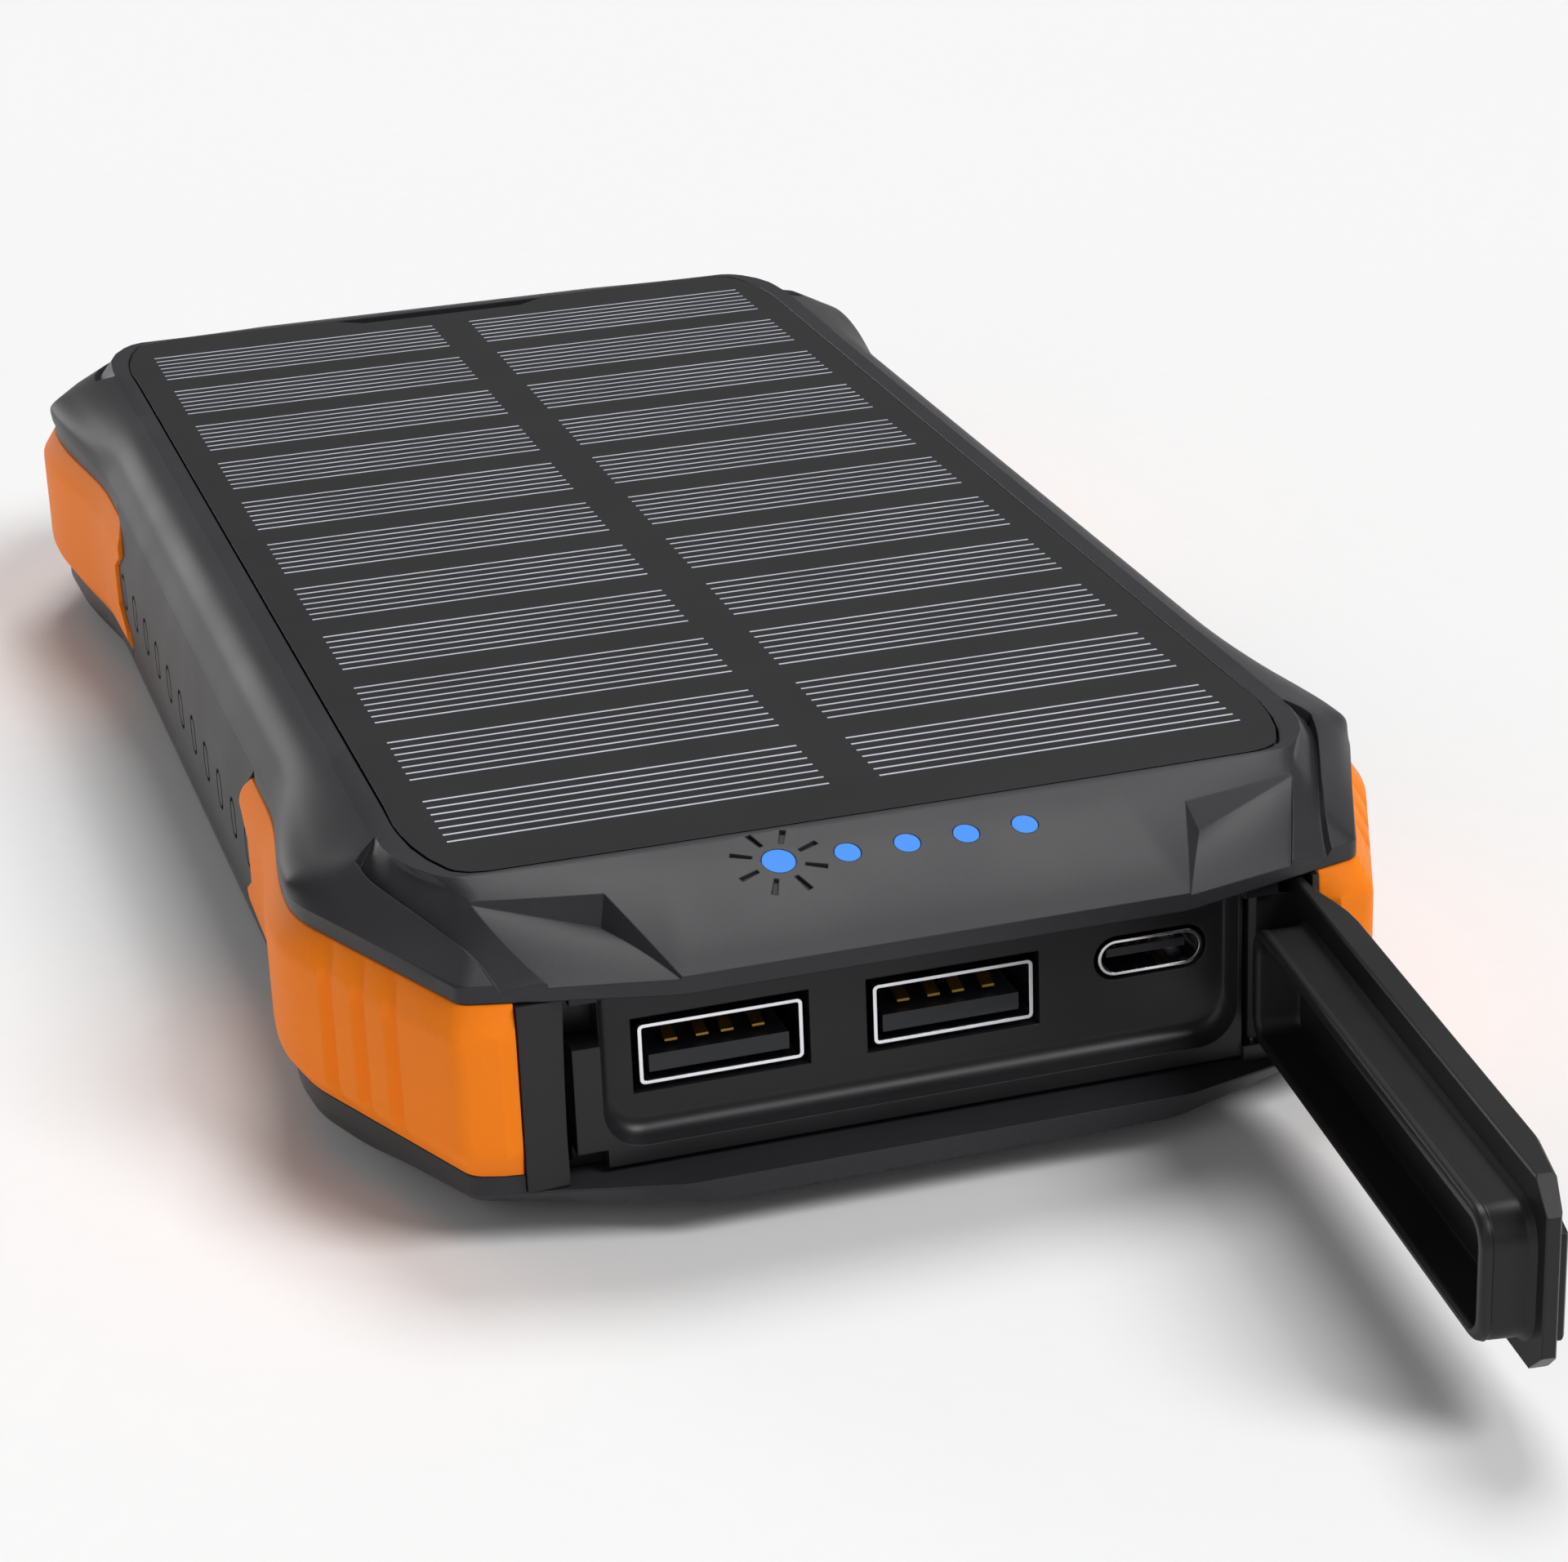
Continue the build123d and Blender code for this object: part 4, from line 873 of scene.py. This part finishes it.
USB_A = ((-15.9, 13.4), (2.9, 13.4))
USB_C = (19.3, 14.8)
HOLE_A, HOLE_C = (7.1, 3.15), (4.75, 1.88)   # half sizes of the holes round the sockets
socket_holes = []
for x, z in USB_A:
    wide, high = HOLE_A
    hole = [(x - wide, z - high), (x + wide, z - high), (x + wide, z + high), (x - wide, z + high)]
    socket_holes.append(front_prism(hole, -90, -80))
hole_x = (USB_C[0] - HOLE_C[0], USB_C[0] + HOLE_C[0])
hole_z = (USB_C[1] - HOLE_C[1], USB_C[1] + HOLE_C[1])
socket_holes.append(front_prism(rounded_rectangle(hole_x, hole_z, 1.87, 10), -90, -80))
cut(port_look, socket_holes, crease=24)
# notches in the rim's left side, and the gap beside it
cut(port_look, [
    block((-28.3, -25.7), (-89, -84.6), (15.7, 19.4)),
    block((-28.3, -25.7), (-89, FACE_Y), (5.3, 6.9)),
    front_prism([(-29.0, 5.6), (-28.1, 5.6), (-28.1, 19.9), (-28.8, 19.9), (-29.0, 14.0)], -86.5, -84.6),
], crease=24)
hinge_lugs = [block((26.25, 29.1), (-88.4, -85.9), z) for z in ((5.0, 6.4), (19.2, 20.5))]
cut(port_look, hinge_lugs, "UNION")
port_look.data.materials.append(MATERIALS["port_plastic"])
finish_piece(port_look, HOUSING, ["port_frame"], "port_plastic")

# ------------------------------------------------------------------ port cover
HINGE = Vector((27.6, -87.0, 0.0))
OPEN_ANGLE = math.radians(84.2)
SWING = Matrix.Translation(HINGE) @ Matrix.Rotation(OPEN_ANGLE, 4, "Z") @ Matrix.Translation(-HINGE)


def swung(points):
    """Points of the closed cover, turned open."""
    return [tuple(SWING @ Vector(p)) for p in points]


PLATE_PLAN = [
    (-26.6, -90.9), (-26.3, -91.1), (-19.4, -92.15), (-18.6, -92.2), (17.6, -92.2), (19.6, -92.05),
    (21.8, -91.6), (24.3, -90.95), (27.6, -90.7), (28.2, -90.55), (28.2, -90.0), (28.1, -89.9),
    (-26.5, -89.9), (-26.6, -90.0),
]
PLATE_MIDDLE = np.array((0.8, -90.27))


def plate_ring(height, drawn):
    """Plan of the plate at one height, drawn in all round."""
    out = []
    for x, y in PLATE_PLAN:
        at_an_end = abs(x - PLATE_MIDDLE[0]) > 15
        out.append((
            x - drawn * np.sign(x - PLATE_MIDDLE[0]) * at_an_end,
            y - drawn * np.sign(y - PLATE_MIDDLE[1]),
            height,
        ))
    return out


plate_rows = [
    plate_ring(5.4, 0.2), plate_ring(5.48, 0.08), plate_ring(5.6, 0.0),
    plate_ring(20.1, 0.0), plate_ring(20.22, 0.08), plate_ring(20.3, 0.2),
]
cover_look = loft("port_cover_look", [swung(row) for row in plate_rows])
chips = []
for z, way in ((5.4, 1), (20.3, -1)):
    outline = [
        (-30.0, z - way * 1.0), (-24.2, z - way * 1.0), (-24.2, z),
        (-26.6, z + way * 2.1), (-30.0, z + way * 4.5),
    ]
    rows = [[(x, y, v) for x, v in outline] for y in (-95.0, -88.0)]
    chips.append(loft("chip", [swung(row) for row in rows]))
cut(cover_look, chips, crease=24)
PLUG_X, PLUG_Z = (-24.9, 25.3), (7.3, 17.7)
plug_rows = []
# how far each ring is drawn in, where it lies, and how much more its lower side is drawn in
for inset, y, low in (
    (-0.45, -90.0, 0), (-0.40, -89.85, 0), (-0.12, -89.6, 0), (0.0, -89.3, 0), (0.06, -87.25, 0),
    (0.14, -87.12, 0), (0.14, -87.02, 0), (0.0, -86.9, 0), (-0.02, -86.5, 0.18), (0.05, -86.32, 0.31),
    (0.2, -86.19, 0.36), (0.4, -86.15, 0.24), (0.75, -86.15, 0.05), (1.0, -86.22, 0), (1.14, -86.38, 0),
    (1.2, -86.6, 0), (1.2, -89.3, 0), (1.35, -89.7, 0), (1.6, -89.8, 0),
):
    plug_x = (PLUG_X[0] + inset, PLUG_X[1] - inset)
    plug_z = (PLUG_Z[0] + inset + low, PLUG_Z[1] - inset)
    plan = rounded_rectangle(plug_x, plug_z, max(0.6, 2.6 - inset), 10)
    plug_rows.append(swung([(x, y, z) for x, z in plan]))
loft("cover_plug_look", plug_rows, "black_rubber", body=COVER, crease=40)
pad_rows = []
for height, drawn in ((8.0, 0.25), (8.1, 0.08), (8.3, 0.0), (16.1, 0.0), (16.3, 0.08), (16.4, 0.25)):
    pad = [
        (-25.5 + drawn, -90.9), (-25.6 + drawn, -91.8 + drawn), (-25.2, -92.05 + drawn),
        (-20.2, -92.8 + drawn), (-14.9 - drawn, -92.8 + drawn), (-14.5 - drawn, -92.5),
        (-14.5 - drawn, -91.9),
    ]
    pad_rows.append(swung([(x, y, height) for x, y in pad]))
loft("cover_finger_pad", pad_rows, "black_rubber", body=COVER)
LEAF = (
    (27.0, -90.1), (28.2, -90.1), (28.2, -87.6), (28.45, -87.0), (28.2, -86.4),
    (27.6, -86.15), (27.0, -86.4), (26.75, -87.0), (27.0, -87.6),
)
leaf_rows = [swung(raised(LEAF, height)) for height in (6.65, 18.95)]
loft("cover_hinge_leaf", leaf_rows, "black_rubber", body=COVER)
cover_look.data.materials.append(MATERIALS["black_rubber"])
finish_piece(cover_look, COVER, ["port_cover"], "black_rubber")

# ------------------------------------------------------------------ solar panel
PANEL_CORNER = [(x - 0.28, y - 0.27) for x, y in SEAT_CORNER]
panel_part = quarter(
    78.0, 19.0, (32.8, 78.0), (35.95, 69.0), (36.0, 62.0), 36.0, path=PANEL_CORNER,
)
panel_rows = [
    raised(whole(panel_part), 25.3),
    raised(whole(panel_part), 26.84),
    raised(whole(drawn_in(panel_part, -0.16)), 26.985),
]
panel_look = loft("solar_laminate_look", panel_rows)
NOTCH = ((-12.2, 78.5), (-12.0, 77.9), (-9.0, 75.8), (9.0, 75.8), (12.0, 77.9), (12.2, 78.5))
cut(panel_look, [loft("notch", [raised(NOTCH, height) for height in (26.2, 28.0)])])
panel_look.data.materials.append(MATERIALS["laminate"])
finish_piece(panel_look, HOUSING, ["solar_laminate"], "laminate")

# printed fingers of the cells, as thin bright strips
ROWS, ROW_PITCH, FINGERS, FINGER_PITCH, FINGER_WIDTH = 11, 13.44, 7, 1.434, 0.24
CELL_NEAR, CELL_FAR = 2.105, 33.085
STRIP_FACES = ((0, 3, 2, 1), (4, 5, 6, 7), (0, 1, 5, 4), (1, 2, 6, 5), (2, 3, 7, 6), (3, 0, 4, 7))
finger_points, finger_faces = [], []
for row in range(ROWS):
    for finger in range(FINGERS):
        y = (row - (ROWS - 1) / 2) * ROW_PITCH + (finger - (FINGERS - 1) / 2) * FINGER_PITCH
        for x_side in (-1, 1):
            start = len(finger_points)
            for z in (26.9, TOP):
                for x, dy in ((CELL_NEAR, -1), (CELL_FAR, -1), (CELL_FAR, 1), (CELL_NEAR, 1)):
                    finger_points.append((x * x_side, y + dy * FINGER_WIDTH / 2, z))
            finger_faces += [tuple(start + k for k in face) for face in STRIP_FACES]
fingers_look = piece("cell_fingers_look", finger_points, finger_faces, None)
fingers_look.data.materials.append(MATERIALS["silver_lines"])
finish_piece(fingers_look, HOUSING, ["cell_fingers"], "silver_lines")

# ------------------------------------------------------------------ floor
FLOOR_METRES = 30
FLOOR_GAP_METRES = 0.00005
bpy.ops.mesh.primitive_plane_add(size=FLOOR_METRES, location=(0, 0, -FLOOR_GAP_METRES))
floor = bpy.context.object
floor.name = "floor"
floor.data.materials.append(surface(
    "floor_paint", (0.93, 0.93, 0.93, 1), 0.8, grain=0.01, grain_mm=3, shade=0.01, shade_mm=400,
))
floor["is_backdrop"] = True

# ------------------------------------------------------------------ size
low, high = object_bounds()
({
    "cad": [list(cad_box[0]), list(cad_box[1])],
    "visual": [list(low), list(high)],
})
